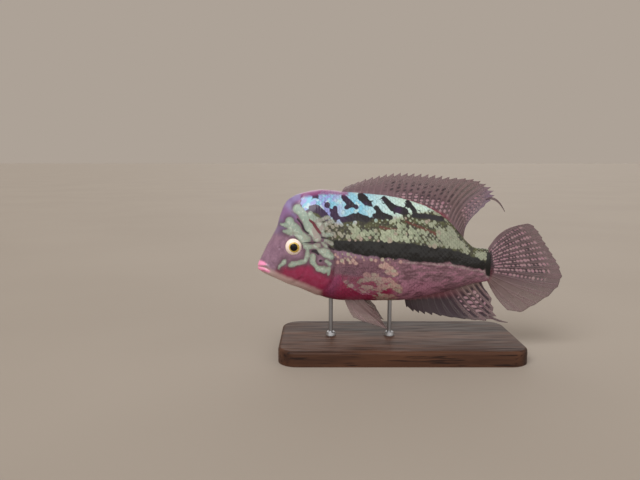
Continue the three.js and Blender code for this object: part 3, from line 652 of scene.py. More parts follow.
def skin_material(colours):
    """Wet skin: soft ground colours, dark windows and band, then pearls, plates and the head's strokes."""
    shader = {"Specular IOR Level": 0.36, "Coat Weight": 0.2, "Coat Roughness": 0.15}
    material, wiring, surface = new_material("wet_fish_skin", colours, shader)
    value, ramp, times, tinted = wiring.attribute, wiring.ramp, wiring.times, wiring.tinted
    edge = ragged_edge_group()

    def mask(name, softness, wobble=1.0, scale=420.0, strength=1.0):
        inputs = {"Inside": value(name), "Softness": softness, "Wobble": wobble, "Wobble Scale": scale}
        return times(wiring.group(edge, inputs)["Mask"], strength)

    mottle = wiring.noise(260.0, 4.0, 0.6)
    broad = wiring.noise(70.0, 2.0)
    fine = wiring.noise(900.0, 2.0)
    streaks = wiring.noise(330.0, 2.0, 0.5, wiring.stretched((0.28, 1.0, 1.0)), 0.8)
    station, tint = value("station"), value("pearl_tint")

    rear = tinted(
        "rear",
        # Partly painted fill light: the pink grows towards the belly's underside, partly its own colour and
        # partly lightened against the shade that falls there
        (ramp(value("underside"), 0.2, 1.0), "rear_pink"),
        (ramp(streaks, 0.52, 0.62, 0.0, 0.7), "rear_pink"),
        (ramp(streaks, 0.47, 0.38, 0.0, 0.65), "rear_dark"),
    )
    purple = wiring.most(ramp(broad, 0.5, 0.66, 0.0, 0.6), ramp(station, 0.84, 0.6, 0.0, 0.7))
    ground = tinted(
        "face",
        (ramp(mottle, 0.3, 0.7), "face_shade"),
        (mask("hump", 6.0, 6.0, 90.0), tinted("hump", (ramp(broad, 0.42, 0.6), "hump_violet"))),
        # Painted sheen: blue-grey over the forehead's front edge, standing for reflected light
        (mask("brow", 4.0, 4.0, 120.0, 0.7), "brow"),
        # Partly painted highlight: the blue-grey patches on the hump's front stand for reflected light
        (mask("haze", 2.2, 1.6, 200.0, 0.6), "haze"),
        (mask("crimson", 2.6, 4.0, 180.0), tinted("crimson", (ramp(mottle, 0.35, 0.72), "crimson_shade"))),
        (mask("gill_flush", 4.0, 3.0, strength=0.7), "gill_flush"),
        (mask("mauve", 2.4, 4.0, 200.0), tinted("mauve", (ramp(streaks, 0.52, 0.4), "mauve_shade"))),
        (mask("rear", 6.0, 8.0, 120.0), rear),
        (mask("jaw", 2.5, 2.0, 200.0, 0.85), "jaw"),
        (ramp(value("stroke"), -4.5, 0.5, 0.0, 0.75), "between_strokes"),
        (mask("dark_ground", 1.6, 3.0, 240.0), tinted("ground", (ramp(mottle, 0.4, 0.62), "ground_olive"))),
        (mask("window", 0.8, 1.5, 380.0), tinted("window", (purple, "window_purple"))),
        (mask("band", 0.9, 2.2, 330.0), tinted("black", (ramp(mottle, 0.45, 0.75), "black_olive"))),
        (times(value("band_edge"), ramp(streaks, 0.4, 0.55, 0.2, 0.8)), "band_edge"),
        (mask("rust", 0.7, 1.6), "rust"),
    )
    plates = tinted(
        "plate_violet",
        (ramp(wiring.noise(150.0, 2.0), 0.46, 0.6), "plate_cyan"),
        (ramp(station, 0.56, 0.8), "plate"),
        (ramp(station, 0.95, 1.25), "plate_green"),
        (value("cyan"), "plate_cyan"),
        # Painted highlight: scattered pale patches over the plates stand for glints of light on them
        (ramp(wiring.noise(210.0, 3.0), 0.52, 0.68, 0.0, 0.8), "plate_painted_highlight"),
    )
    belly = tinted(
        "belly_pearl",
        (ramp(tint, 0.3, 0.7), "belly_pearl_pale"),
        (ramp(value("pearl"), 0.5, 0.1, 0.0, 0.5), "belly_rim"),
    )
    pearl = tinted(
        "pearl",
        (ramp(tint, 0.2, 0.9), "pearl_pale"),
        (ramp(tint, 0.22, 0.02), "pearl_pink"),
        (ramp(fine, 0.45, 0.7, 0.0, 0.4), "pearl_shade"),
        (times(value("front_pearl"), 0.75), "front_pearl"),
        (ramp(station, 1.2, 1.6, 0.0, 0.7), "pearl_rear"),
        (mask("plates", 3.0, 4.0, 140.0), plates),
        (value("belly_tint"), belly),
    )
    stroke = tinted(
        "stroke",
        (ramp(fine, 0.35, 0.7), "stroke_green"),
        (times(value("stroke_high"), 0.6), "stroke_green"),
        (ramp(broad, 0.5, 0.64, 0.0, 0.8), "stroke_grey"),
        (ramp(wiring.noise(300.0, 3.0, 0.6), 0.5, 0.64, 0.0, 0.8), "stroke_light"),
        (ramp(value("stroke"), 1.9, 0.2, 0.0, 0.6), "stroke_edge"),
    )
    colour = tinted(
        ground,
        (mask("pearl", 0.35, 0.9, 620.0), pearl),
        (mask("crest", 1.6, 2.4, 200.0, 0.85), "crest"),
        (mask("stroke", 0.6, 1.4), stroke),
        (mask("slit", 0.4, 0.8), "slit"),
        (mask("red_slit", 0.4, 0.8), "slit_red"),
        (mask("lip", 1.1), "lip"),
    )
    for mark, strength, shade in (("scale_rim", 0.4, "scale_shade"), ("crease", 1.0, "crease")):
        colour = wiring.blend(times(value(mark), strength), colour, shade, "MULTIPLY")

    wet = wiring.group(wet_skin_group(), {"Gloss": 0.34})
    normal = wiring.bump(wet["Height"], 0.35, 0.0004)
    wiring.feed(surface, {"Base Color": colour, "Roughness": wet["Roughness"], "Normal": normal})
    return material


def fin_material(name, colours, film, ray, root_film, clear, solid_rays):
    """A thin film over rays, with pale beads between them and dark, red, violet or smoky parts."""
    shader = {"Specular IOR Level": 0.4, "Coat Weight": 0.12, "Coat Roughness": 0.25}
    material, wiring, surface = new_material(name, colours, shader)
    value, ramp, times, tinted = wiring.attribute, wiring.ramp, wiring.times, wiring.tinted
    on_ray, out, smoke = value("on_ray"), value("out"), value("smoke")
    mottle = wiring.noise(240.0, 4.0, 0.6)
    shade = ramp(mottle, 0.3, 0.7)
    gaps = times(value("dark"), wiring.math("SUBTRACT", 1.0, times(on_ray, 0.8)))
    bead = ramp(value("bead"), -0.09, 0.09)
    colour = tinted(
        film,
        (shade, "fin_shade"),
        (value("violet"), "fin_violet"),
        (smoke, "fin_smoke"),
        (value("tan"), "fin_tan"),
        (times(on_ray, 0.45), tinted(ray, (smoke, "fin_smoky_ray"))),
        (times(gaps, ramp(mottle, 0.25, 0.5, 0.7, 1.0)), "fin_dark"),
        (bead, tinted("fin_bead", (shade, "fin_bead_pink"))),
        (value("red_root"), "fin_root"),
    )
    see = ramp(out, 0.05, 0.9, root_film, clear)
    marked = times(wiring.most(gaps, bead), 0.92)
    solid = wiring.most(see, times(on_ray, solid_rays), marked, times(smoke, 0.9))
    joints = wiring.math("SINE", times(out, 420.0), 0.0)
    height = wiring.math("ADD", times(joints, times(on_ray, 0.2)), mottle)
    wet = wiring.group(wet_skin_group(), {"Gloss": 0.4})
    normal = wiring.bump(height, 0.3, 0.0003)
    wiring.feed(surface, {"Base Color": colour, "Alpha": solid, "Normal": normal})
    wiring.feed(surface, {"Roughness": wet["Roughness"]})
    return material


def iris_material(colours):
    """Rings of the eye about its own axis: a dark pupil, a gold inner ring and a pale pink outer one."""
    shader = {"Roughness": 0.35, "Specular IOR Level": 0.2, "Coat Weight": 0.25, "Coat Roughness": 0.02}
    material, wiring, surface = new_material("eye_iris", colours, shader)
    ramp, tinted, ring = wiring.ramp, wiring.tinted, wiring.attribute("ring")
    mottle = wiring.noise(900.0, 3.0)
    gold_edge = wiring.math("SUBTRACT", ring, wiring.times(wiring.attribute("low_side"), 0.14))
    colour = tinted(
        "eye_gold",
        (ramp(mottle, 0.35, 0.7), "eye_gold_shade"),
        (ramp(gold_edge, 0.5, 0.62), tinted("eye_pale", (ramp(mottle, 0.3, 0.7), "eye_pink"))),
        (ramp(ring, 0.44, 0.4), "pupil"),
        (ramp(ring, 0.9, 1.0), "eye_rim"),
    )
    wiring.feed(surface, {"Base Color": colour})
    return material


def wood_material(colours):
    """Dark stained hardwood with its grain along the base."""
    material, wiring, surface = new_material("dark_waxed_wood", colours, {"Specular IOR Level": 0.2})
    grain = wiring.noise(60.0, 6.0, 0.6, wiring.stretched((0.12, 1.6, 1.6)))
    pores = wiring.noise(600.0, 2.0, 0.5, wiring.stretched((0.06, 1.0, 1.0)))
    colour = wiring.tinted(
        "wood", (wiring.ramp(grain, 0.35, 0.68), "wood_dark"), (wiring.ramp(pores, 0.56, 0.7), "wood_pore")
    )
    rough = wiring.ramp(pores, 0.3, 0.7, 0.45, 0.62)
    normal = wiring.bump(pores, 0.25, 0.0003)
    wiring.feed(surface, {"Base Color": colour, "Roughness": rough, "Normal": normal})
    return material


def steel_material(colours):
    """Brushed steel, with the marks of turning running round the rods."""
    shader = {"Metallic": 1.0, "Base Color": "steel"}
    material, wiring, surface = new_material("brushed_steel", colours, shader)
    lines = wiring.noise(900.0, 3.0, 0.5, wiring.stretched((0.1, 0.1, 4.0)))
    wiring.feed(surface, {"Roughness": wiring.ramp(lines, 0.3, 0.7, 0.36, 0.5)})
    return material


def floor_material(colours):
    """A pale studio floor with a slight unevenness of tone."""
    shader = {"Roughness": 0.75, "Specular IOR Level": 0.2}
    material, wiring, surface = new_material("studio_floor", colours, shader)
    tone = wiring.ramp(wiring.noise(3.0, 2.0), 0.3, 0.7)
    wiring.feed(surface, {"Base Color": wiring.tinted("floor", (tone, "floor_shade"))})
    return material


# The skin
def ring_stations(sizes):
    """Where the skin's rings stand, close together over the face and wider apart down the body."""
    snout = np.arange(0, 17, sizes.snout_step)
    face = np.arange(17, 52, sizes.face_step)
    body = np.linspace(52, BODY_LENGTH, int((BODY_LENGTH - 52) / sizes.body_step))
    return np.concatenate([snout, face, body])


def shut_ends(rings):
    """Adds the rings that turn in at the lips and close the tail root."""

    def shrunk(ring, back, wide, high):
        middle = ring.mean(axis=0)
        return middle + (ring - middle) * (1, wide, high) + (back, 0, 0)

    first, last = rings[0], rings[-1]
    mouth = [(2.6, 0, 0), (2.4, 0.5, 0.08), (1.2, 0.8, 0.15), (0.3, 0.86, 0.45), (0.0, 0.93, 0.8)]
    root = [(0.7, 0.9, 0.9), (1.1, 0.6, 0.6), (1.2, 0, 0)]
    return np.concatenate([[shrunk(first, *s) for s in mouth], rings, [shrunk(last, *s) for s in root]])


def outward(points):
    """The way out of a wrapped sheet at each of its points."""
    around = np.roll(points, -1, axis=1) - np.roll(points, 1, axis=1)
    way = unit(np.cross(np.gradient(points, axis=0), around))
    middle = points.mean(axis=1, keepdims=True)
    return way * np.where(((points - middle) * way).sum(axis=(1, 2), keepdims=True) < 0, -1, 1)


def rings_round(points):
    """Length round each ring from the belly's midline, on either side."""
    steps = np.linalg.norm(np.diff(points, axis=1, append=points[:, :1]), axis=-1)
    walked = np.cumsum(steps, axis=1) - steps
    return np.minimum(walked, steps.sum(axis=1, keepdims=True) - walked)


def smooth_noise(points, pitch, seed):
    """Soft seeded lumps over the fish, about one to each pitch (mm), between -1 and 1."""
    grid = np.random.default_rng(seed).uniform(-1, 1, (48, 16, 32))
    at = points / pitch + (8, 8, 16)
    cell = np.floor(at).astype(int)
    part = at - cell
    part = part * part * (3 - 2 * part)
    total = 0
    for corner in np.ndindex(2, 2, 2):
        weight = np.prod(np.where(corner, part, 1 - part), axis=-1)
        i, j, k = np.moveaxis((cell + corner) % grid.shape, -1, 0)
        total = total + weight * grid[i, j, k]
    return total


def sculpted(points, sizes, lattice):
    """The bare body with its gill covers, lips, folds, nostrils, eye sockets and scales raised on it."""
    way = outward(points)
    x, y, z = np.moveaxis(points, -1, 0)
    behind_gill = line_distance(x, z, GILL_SLIT)
    high = ease(z, 22, 34)
    throat = ease(-z, 2, 14)
    cover = fade(behind_gill, -0.5 - 12 * high - 3 * throat, 0.6 + 7 * high + 3 * throat)
    groove = swell(behind_gill - 1.1, 2.2) * fade(z, 20, 30) * ease(z, bottom(x) + 2, bottom(x) + 20)
    height = GILL_FLARE * gill_flare(x) * cover - sizes.gill_groove / MM * groove

    cheek = line_distance(x, z, CHEEK_LINE)
    height += (0.2 * swell(cheek + 1.6, 2.8) - 0.22 * swell(cheek - 0.8, 2.2)) * ease(x, 22, 30)

    mouth = line_distance(x, z, MOUTH_LINE)
    lips = sizes.lip_swell / MM * (swell(mouth - 1.8, 2.2) + 0.9 * swell(mouth + 1.9, 2.2))
    height += (lips - 0.4 * swell(mouth, 1.0)) * fade(x, 7.5, 12.5)
    height -= 0.3 * swell(line_distance(x, z, MOUTH_FOLD), 1.4) * ease(x, 9, 12) * ease(z, -6, -3)

    nostril = np.hypot((x - NOSTRIL_AT[0]) / 1.2, z - NOSTRIL_AT[1])
    height += 0.35 * swell(nostril - 1.3, 0.8) - 1.0 * swell(nostril, 1.05)
    socket = np.hypot(x - EYE_AT[0], z - EYE_AT[1])
    height += 0.45 * swell(socket - 8.0, 1.6) - 0.3 * swell(socket - 10.6, 2.4)
    for pore_x, pore_z in PORES:
        height -= 0.4 * swell(np.hypot(x - pore_x, z - pore_z), 0.6)

    along, round_, _ = lattice
    tilt = topmost_scale(along, round_)[0] - 0.6
    scaled = scaled_part(behind_gill, z) * fade(x, 186, 190)
    cheek_scales = 0.35 * fade(behind_gill, -3, -1) * ease(x, 30, 36) * fade(z, 9, 13)
    belly = ease(z - bottom(x), 1, 8)
    height += sizes.scale_relief / MM * tilt * np.maximum(scaled, cheek_scales) * (0.35 + 0.65 * belly)
    hump = ease(z, 30, 46) * fade(x, 56, 70)
    height += 0.5 * smooth_noise(points, 9.0, 5) * hump + 0.16 * smooth_noise(points, 4.0, 6)
    shaped = points + way * height[..., None] * np.stack([ease(x, -1, 14), 1 + 0 * x, 1 + 0 * x], -1)

    centre = (EYE_BOX[0].y + EYE_BOX[1].y) / 2 / MM
    across = (EYE_BOX[1].x - EYE_BOX[0].x) / 2 / MM
    deep = (EYE_BOX[1].y - EYE_BOX[0].y) / 2 / MM
    ball = centre + deep * np.sqrt(np.clip(1 - (socket / across) ** 2, 0, 1))
    sunk = np.minimum(np.abs(shaped[..., 1]), ball - 0.9)
    share = fade(socket, across - 1.7, across - 0.1)
    shaped[..., 1] = np.sign(y) * (np.abs(shaped[..., 1]) * (1 - share) + sunk * share)
    return shaped


def skin_marks(points, lattice):
    """How far inside each mark of the skin every point lies (mm), or how much of a tint it has (0 to 1)."""
    x, z = seen_from_front(points)
    side_x, side_z = points[..., 0], points[..., 2]
    pearl, tint = pearls(x, z, *lattice)
    edge = topmost_scale(*lattice[:2])[1]
    wavy_x = x + WAVER * smooth_noise(points, WAVER_PITCH, 21)
    wavy_z = z + WAVER * smooth_noise(points, WAVER_PITCH, 22)
    behind_gill = line_distance(side_x, side_z, GILL_SLIT)
    gill_crease = swell(behind_gill - 0.8, 1.5) * fade(side_z, 12, 22) * ease(side_z, -20, -8)
    mouth_crease = swell(line_distance(side_x, side_z, MOUTH_LINE), 0.6) * fade(side_x, 6.5, 11.5)
    ring = swell(np.hypot(x - BLUE_RING[0], z - BLUE_RING[1]) - 4.2, 3.4)
    marks = {
        "station": x / 100,
        "cyan": np.maximum(ring, 0.7 * span(x, 66, 76, 84, 100)),
        "crimson": least(crimson_top(x) - z, x - 14, 124 - x),
        "jaw": np.minimum(bottom(side_x) + 7.5 - side_z, 52 - x),
        "dark_ground": np.minimum(behind_nape(x, z) + 1, z - band_middle(x) + 2),
        "plates": aqua_inside(x, z),
        # underside: lighter pink towards the rear belly's bottom, partly its own colour and partly painted
        # light against the shade there
        "underside": ease(-6 - z, 0, 12) * fade(x, 132, 168),
        "pearl": pearl,
        "pearl_tint": tint,
        "belly_tint": ease(band_middle(x) - 3 - z, 0, 3),
        "band_edge": swell(within(x, z, BLACK_BAND) + 1.3, 1.5) * fade(z, 3, 6) * ease(x, 108, 122),
        "window": np.minimum(np.maximum(within(x, z, WINDOWS), aqua_inside(x, z) - 1), behind_nape(x, z) + 1),
        "crest": least(z - top(x) + 4.2 - ease(x, 44, 70) * 1.4, x - 36, 74 - x),
        "front_pearl": fade(x, 62, 84) * fade(z, 36, 43),
        "stroke_high": ease(z, 22, 36),
        "scale_rim": fade(edge, 0.02, 0.16) * scaled_part(behind_gill, side_z),
        "crease": np.maximum(0.15 * gill_crease, 0.45 * mouth_crease),
        **{name: least(x - x0, x1 - x, z - z0, z1 - z) for name, (x0, x1, z0, z1) in PARTS.items()},
        **{name: within(x, z, strokes) for name, strokes in PLAIN_MARKS.items()},
        **{name: within(wavy_x, wavy_z, strokes) for name, strokes in WAVY_MARKS.items()},
    }
    return {name: mark.astype(float) for name, mark in marks.items()}


class FLOWERHORN_OT_skin(bpy.types.Operator):
    """Builds the whole body under one scaled and marked skin"""

    bl_idname = "flowerhorn.skin"
    bl_label = "Skin"

    def execute(self, context):
        sizes = context.scene.flowerhorn_sizes
        stations = ring_stations(sizes)
        angles = 2 * np.pi * (np.arange(sizes.skin_columns) + 0.5) / sizes.skin_columns - np.pi / 2
        points = shut_ends(skin_point(*np.meshgrid(stations, angles, indexing="ij")))
        run = np.concatenate([[0], np.cumsum(np.diff(stations) / scale_size(stations[1:]))]) / SCALE_PITCH
        along = np.interp(points[..., 0], stations, run)
        flank = rings_round(points)
        middle = flank[:, [len(angles) // 4]]
        pitch = SCALE_PITCH * scale_size(points[..., 0])
        lattice = (along, (flank - middle) / pitch, pitch)
        bm = bmesh.new()
        wrapped_sheet(bm, sculpted(points, sizes, lattice), skin_marks(points, lattice))
        covers = ("gill_cover_left", "gill_cover_right")
        flesh = ("head", "nuchal_hump", "lower_jaw", *covers, "torso", "tail_stem")
        finished("body_skin", bm, skin_material(context.scene.flowerhorn_colours), flesh, "skin")
        return {"FINISHED"}


# The eyes
class FLOWERHORN_OT_eyes(bpy.types.Operator):
    """Builds each eyeball, with its ringed iris under a clear coat"""

    bl_idname = "flowerhorn.eyes"
    bl_label = "Eyes"

    def execute(self, context):
        iris = iris_material(context.scene.flowerhorn_colours)
        for side, outward_y in (("left", -1), ("right", 1)):
            low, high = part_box("eye_" + side)
            bm = bmesh.new()
            bmesh.ops.create_uvsphere(bm, u_segments=128, v_segments=96, radius=1)
            bmesh.ops.rotate(bm, verts=bm.verts, matrix=Matrix.Rotation(math.pi / 2, 3, "X"))
            ring = bm.verts.layers.float.new("ring")
            low_side = bm.verts.layers.float.new("low_side")
            for vert in bm.verts:
                from_axis = math.hypot(vert.co.x, vert.co.z)
                vert[ring] = from_axis if vert.co.y * outward_y > 0 else 1.2
                vert[low_side] = max(0.0, (vert.co.x - 0.6 * vert.co.z) * 0.8)
                vert.co.y += outward_y * 0.1 * float(fade(from_axis, 0.2, 0.62))
            bmesh.ops.scale(bm, verts=bm.verts, vec=(high - low) / 2 - Vector(EYE_INSET) * MM)
            bmesh.ops.translate(bm, verts=bm.verts, vec=(low + high) / 2)
            finished("eyeball_" + side, bm, iris, ("eye_" + side,), "eye")
        return {"FINISHED"}


# The fins. Each at() gives a place on a fin's middle sheet: t runs along its root, and v out to its rim.
def rim(stations):
    """A fin's rim through (t, x, z) stations: a function from t to a place on it."""
    x, z = (profile([(station[0], station[i]) for station in stations]) for i in (1, 2))
    return lambda t: (x(t), 0, z(t))


def ray_point(t, v, start, end, bow, sway):
    """A place on the ray from start to end, each an (x, y, z), that bows at its middle and sways sideways."""
    start, end, bow = (np.stack([part + 0 * t for part in spot], -1) for spot in (start, end, bow))
    along = v[..., None]
    point = (1 - along) ** 2 * start + 2 * along * (1 - along) * ((start + end) / 2 + bow) + along**2 * end
    point[..., 1] += sway
    return point


dorsal_root_x = profile([(0, 68.2), (0.571, 146.3), (0.786, 161.2), (1, 169.4)])
dorsal_rim = rim([
    (0, 71.5, 63.7), (0.143, 94.1, 71.8), (0.286, 116.7, 75.2), (0.43, 139.3, 74), (0.571, 161.9, 71.3),
    (0.643, 175.4, 70.1), (0.714, 185.4, 66.2), (0.786, 191.8, 60.6), (0.821, 192.4, 57),
    (0.857, 189.4, 52.8), (0.893, 184.4, 48), (0.929, 179, 43), (0.964, 174, 38), (1, 169.8, 31.4),
])
dorsal_lean = profile([(0, 1), (0.5, 3), (0.75, 9), (1, 1.6)])


def dorsal_at(t, v):
    root_x, lean = dorsal_root_x(t), dorsal_lean(t)
    start = (root_x, 0, top(root_x) - ROOT_DEPTH)
    sway = 2.4 * v * v * np.sin(5.2 * t + 0.6)
    return ray_point(t, v, start, dorsal_rim(t), (-lean, 0, 0.7 * lean), sway)


anal_rim = rim([
    (0, 123.2, -36.7), (0.07, 129, -40.3), (0.21, 138.1, -42.2), (0.36, 152.1, -43.6), (0.5, 171, -46),
    (0.64, 189, -47.6), (0.714, 197.4, -47.2), (0.79, 198.4, -43.6), (0.86, 195.6, -36.2),
    (0.93, 194, -28.8), (1, 189.5, -22.4),
])
anal_lean = profile([(0, 0.5), (0.6, 4), (1, 2)])


def anal_at(t, v):
    root_x, lean = 121 + 63.5 * t, anal_lean(t)
    start = (root_x, 0, bottom(root_x) + ROOT_DEPTH)
    sway = 1.8 * v * v * np.sin(4.4 * t + 2.4)
    return ray_point(t, v, start, anal_rim(t), (-0.4 * lean, 0, -lean), sway)


caudal_rim = rim([
    (0, 214.6, 32.4), (0.07, 221.9, 33.8), (0.2, 230.6, 27.2), (0.3, 235.4, 19.6), (0.4, 240, 12.9),
    (0.5, 244.6, 5.8), (0.6, 249.4, -2.5), (0.667, TOTAL_LENGTH, -10.4), (0.73, 248.4, -18.6),
    (0.8, 240.4, -26.8), (0.87, 228.4, -34.4), (0.93, 217.4, -39.8), (1, 206.4, -38),
])


def caudal_at(t, v):
    share = 1 - 2 * t
    upper = share > 0
    root_z = np.where(upper, top(BODY_LENGTH), -bottom(BODY_LENGTH)) * 0.93 * share
    bow = (np.where(upper, -5, -2.2) * np.abs(share), 0, np.where(upper, 8, 2.6) * share)
    sway = 5 * v * v * (0.35 * np.sin(3.1 * t) - 0.75 * t * t)
    return ray_point(t, v, (BODY_LENGTH - 1.2, 0, root_z), caudal_rim(t), bow, sway)


PELVIC_X, PELVIC_LENGTH, PELVIC_Y, PELVIC_SPLAY = 70.5, 15, 7.5, 6
pelvic_rim = rim([
    (0, 78.2, -41.6), (0.2, 86, -44.8), (0.4, 106.4, -51.2), (0.6, 101.5, -44), (0.8, 98.4, -38.3),
    (1, 93.4, -32.6),
])


def pelvic_at(t, v):
    x = PELVIC_X + PELVIC_LENGTH * t
    middle, reach, fullness = half_ring(x, False)
    skin_z = middle - reach * (1 - (PELVIC_Y / half_width(x)) ** fullness) ** (1 / fullness)
    start = (x, PELVIC_Y - 0.6, skin_z + ROOT_DEPTH)
    tip_x, _, tip_z = pelvic_rim(t)
    end = (tip_x, PELVIC_Y + PELVIC_SPLAY, tip_z)
    return ray_point(t, v, start, end, (-1.2, 0, -1.4), 1.2 * v * np.sin(3 * t))


PECTORAL_X, PECTORAL_HIGH, PECTORAL_LOW, PECTORAL_FLARE = 65.5, 0.5, -9, 8.5
pectoral_rim = rim([
    (0, 95, 2.4), (0.2, 104.6, 0.4), (0.45, 108, -6.6), (0.7, 103.6, -14.6), (0.9, 93.4, -20.6),
    (1, 84.4, -20.4),
])


def pectoral_at(t, v):
    root_x, root_z = PECTORAL_X + 3 * t, PECTORAL_HIGH + (PECTORAL_LOW - PECTORAL_HIGH) * t
    start = (root_x - 1.4, side_at(root_x, root_z) - 1.2, root_z)
    tip_x, _, tip_z = pectoral_rim(t)
    end = (tip_x, side_at(tip_x, tip_z) + PECTORAL_FLARE, tip_z)
    return ray_point(t, v, start, end, (0, 1.6, 0.4 - 1.6 * t), 0.0)


def split_rays(phase, out, spines):
    """How much of a ray runs at each point: one stem near the root, dividing twice on the way out."""
    first = 0.13 * ease(out, 0.35, 0.6) * (1 - spines)
    second = 0.065 * ease(out, 0.66, 0.85) * (1 - spines)
    reach = 0.13 - 0.07 * ease(out, 0.5, 0.9)
    branches = [phase + one * first + two * second for one in (-1, 1) for two in (-1, 1)]
    return np.max([fade(np.abs(away), 0.02, reach) for away in branches], axis=0)


def fin_sheet(bm, at, rays, edge, root, ridge, marks, spine_share=0.0, columns=10, rows=60):
    """Adds one fin: a film with rays on both faces, thick at its root and thin at its rim."""
    t = np.linspace(0, 1, (rays - 1) * columns + 1)
    v = np.linspace(0, 1, rows) ** 0.9
    between = t * (rays - 1) - np.floor(t * (rays - 1))
    drop = np.interp(between, [0, 0.24, 0.6, 1], [0, 1, 0.62, 0]) * edge(t)
    t, v = np.meshgrid(t, v)
    number = t * (rays - 1)
    middle = at(t, v * (1 - drop))
    on_ray = split_rays(number - np.round(number), v, t <= spine_share)
    fleshy = profile([(0, root), (0.12, root * 0.62), (0.3, 0.12), (1, 0)])
    thick = FIN_FILM * (1 - 0.5 * v) + fleshy(v) + ridge * on_ray * (1 - 0.6 * v)
    closing = least(ease(t, 0, 0.012), fade(t, 0.988, 1)) * fade(v, 0.97, 1)
    thick = thick * np.sqrt(np.maximum(closing, 0.0))
    out = unit(np.cross(np.gradient(middle, axis=1), np.gradient(middle, axis=0))) * thick[..., None]
    points = np.concatenate([middle + out, (middle - out)[:, ::-1]], axis=1)
    values = {"on_ray": on_ray, "out": v, **marks(t, v, number)}
    wrapped_sheet(bm, points, {name: np.concatenate([m, m[:, ::-1]], axis=1) for name, m in values.items()})


def trailer(bm, at, t, tip):
    """Adds the thin filament that a long soft ray ends in."""
    start, edge = (at(np.array(t), np.array(v)) for v in (0.84, 1.0))
    end = np.array([tip[0], edge[1], tip[1]])
    share = np.linspace(0, 1, 40)[:, None]
    bend = edge + (edge - start) * 0.25
    path = (1 - share) ** 2 * start + 2 * share * (1 - share) * bend + share**2 * end
    along = np.gradient(path, axis=0)
    across = unit(np.stack([-along[:, 2], 0 * along[:, 0], along[:, 0]], -1))
    turn = 2 * np.pi * np.arange(12) / 12
    wide = (0.22 + 0.75 * np.sin(np.pi * (0.3 + 0.7 * share))) * fade(share, 0.97, 1.0)
    thick = (0.5 - 0.35 * share) * fade(share, 0.97, 1.0)
    ring = across[:, None] * (wide * np.cos(turn))[..., None] + (0, 1, 0) * (thick * np.sin(turn))[..., None]
    flat = np.ones(ring.shape[:2])
    marks = {"on_ray": 0.7 * flat, "out": 0.9 * flat, **fin_marks(flat, smoke=0.45)}
    wrapped_sheet(bm, path[:, None] + ring, marks)


def beads(number, out, spacing, radius, seed, stretch=1.0):
    """How far inside a bead each point lies (ray gaps). Beads lie between rays, staggered gap by gap."""
    gap = np.floor(number).astype(int)
    shift = 0.5 * (gap % 2)
    place_along = out / spacing - shift
    nearest = np.round(place_along).astype(int)
    chance = np.random.default_rng(seed).random((64, 64, 2))[gap % 64, nearest % 64]
    away = np.hypot(number - gap - 0.5, (place_along - nearest - 0.3 * (chance[..., 0] - 0.5)) * stretch)
    return radius * (0.7 + 0.6 * chance[..., 1]) - away


def beaded(inside, part):
    """Beads that are kept only in their part of the fin."""
    return np.minimum(inside, 0.6 * part - 0.2)


def gap_lines(number, low, high):
    """A dark line along the middle of each gap between two rays."""
    return fade(np.abs(number - np.floor(number) - 0.5), low, high)


def fin_marks(t, bead=-1.0, **given):
    """The colour marks of a fin, as one value each for every point."""
    plain = {"dark": 0.0, "red_root": 0.0, "smoke": 0.0, "violet": 0.0, "tan": 0.0}
    return {name: value + 0.0 * t for name, value in {**plain, **given, "bead": bead}.items()}


def caudal_marks(t, v, number):
    spotted = span(t, 0.03, 0.1, 0.64, 0.76) * fade(v, 0.74, 1.04 - 0.5 * np.abs(t - 0.42))
    rows = beads(number, v, 0.054, 0.26 - 0.07 * v, 21, 0.62) + 0.12 * fade(v, 0.04, 0.26)
    rows = rows + 0.06 * smooth_noise(np.stack([60 * v, 20 * t, 0 * t], -1), 8.0, 23)
    root = fade(v, 0.05, 0.09) * fade(np.abs(t - 0.48), 0.3, 0.4)
    return fin_marks(
        t,
        beaded(rows, spotted) - 2 * root,
        dark=np.maximum(0.85 * spotted, root),
        smoke=0.18 + 0.82 * root + 0.12 * ease(t, 0.64, 0.76),
        red_root=0.45 * fade(v, 0.02, 0.12) * ease(t, 0.5, 0.7),
        tan=0.45 * ease(t, 0.7, 0.86),
    )


def dorsal_marks(t, v, number):
    striped = ease(number, 15, 18.5) * span(v, 0.04, 0.14, 0.8, 0.98)
    dotted = span(number, 7, 11, 17, 20) * fade(v, 0.5, 0.72)
    netted = ease(number, 20.5, 22) * span(v, 0.25, 0.4, 0.75, 0.92)
    low = beaded(beads(number, v, 0.1, 0.27, 31, 0.8), dotted * fade(v, 0.24, 0.42))
    high = beaded(beads(number, v, 0.085, 0.22, 33, 0.8), netted)
    dots = ease(beads(number, v, 0.15, 0.22, 35, 0.8), -0.06, 0.06)
    dots = dots * span(number, 5, 8, 17, 20) * span(v, 0.24, 0.32, 0.7, 0.86)
    dark = np.maximum(0.65 * dotted * span(v, 0.03, 0.08, 0.3, 0.44), dots)
    return fin_marks(
        t,
        np.maximum(low, high),
        dark=np.maximum(dark, 0.6 * striped * gap_lines(number, 0.12, 0.34)),
        red_root=0.85 * fade(v, 0.06, 0.13) * span(number, 6, 9, 17, 21),
        smoke=0.25 * ease(number, 21, 26),
        violet=0.7 * ease(number, 19, 23) * ease(v, 0.3, 0.6),
        tan=0.3 * striped,
    )


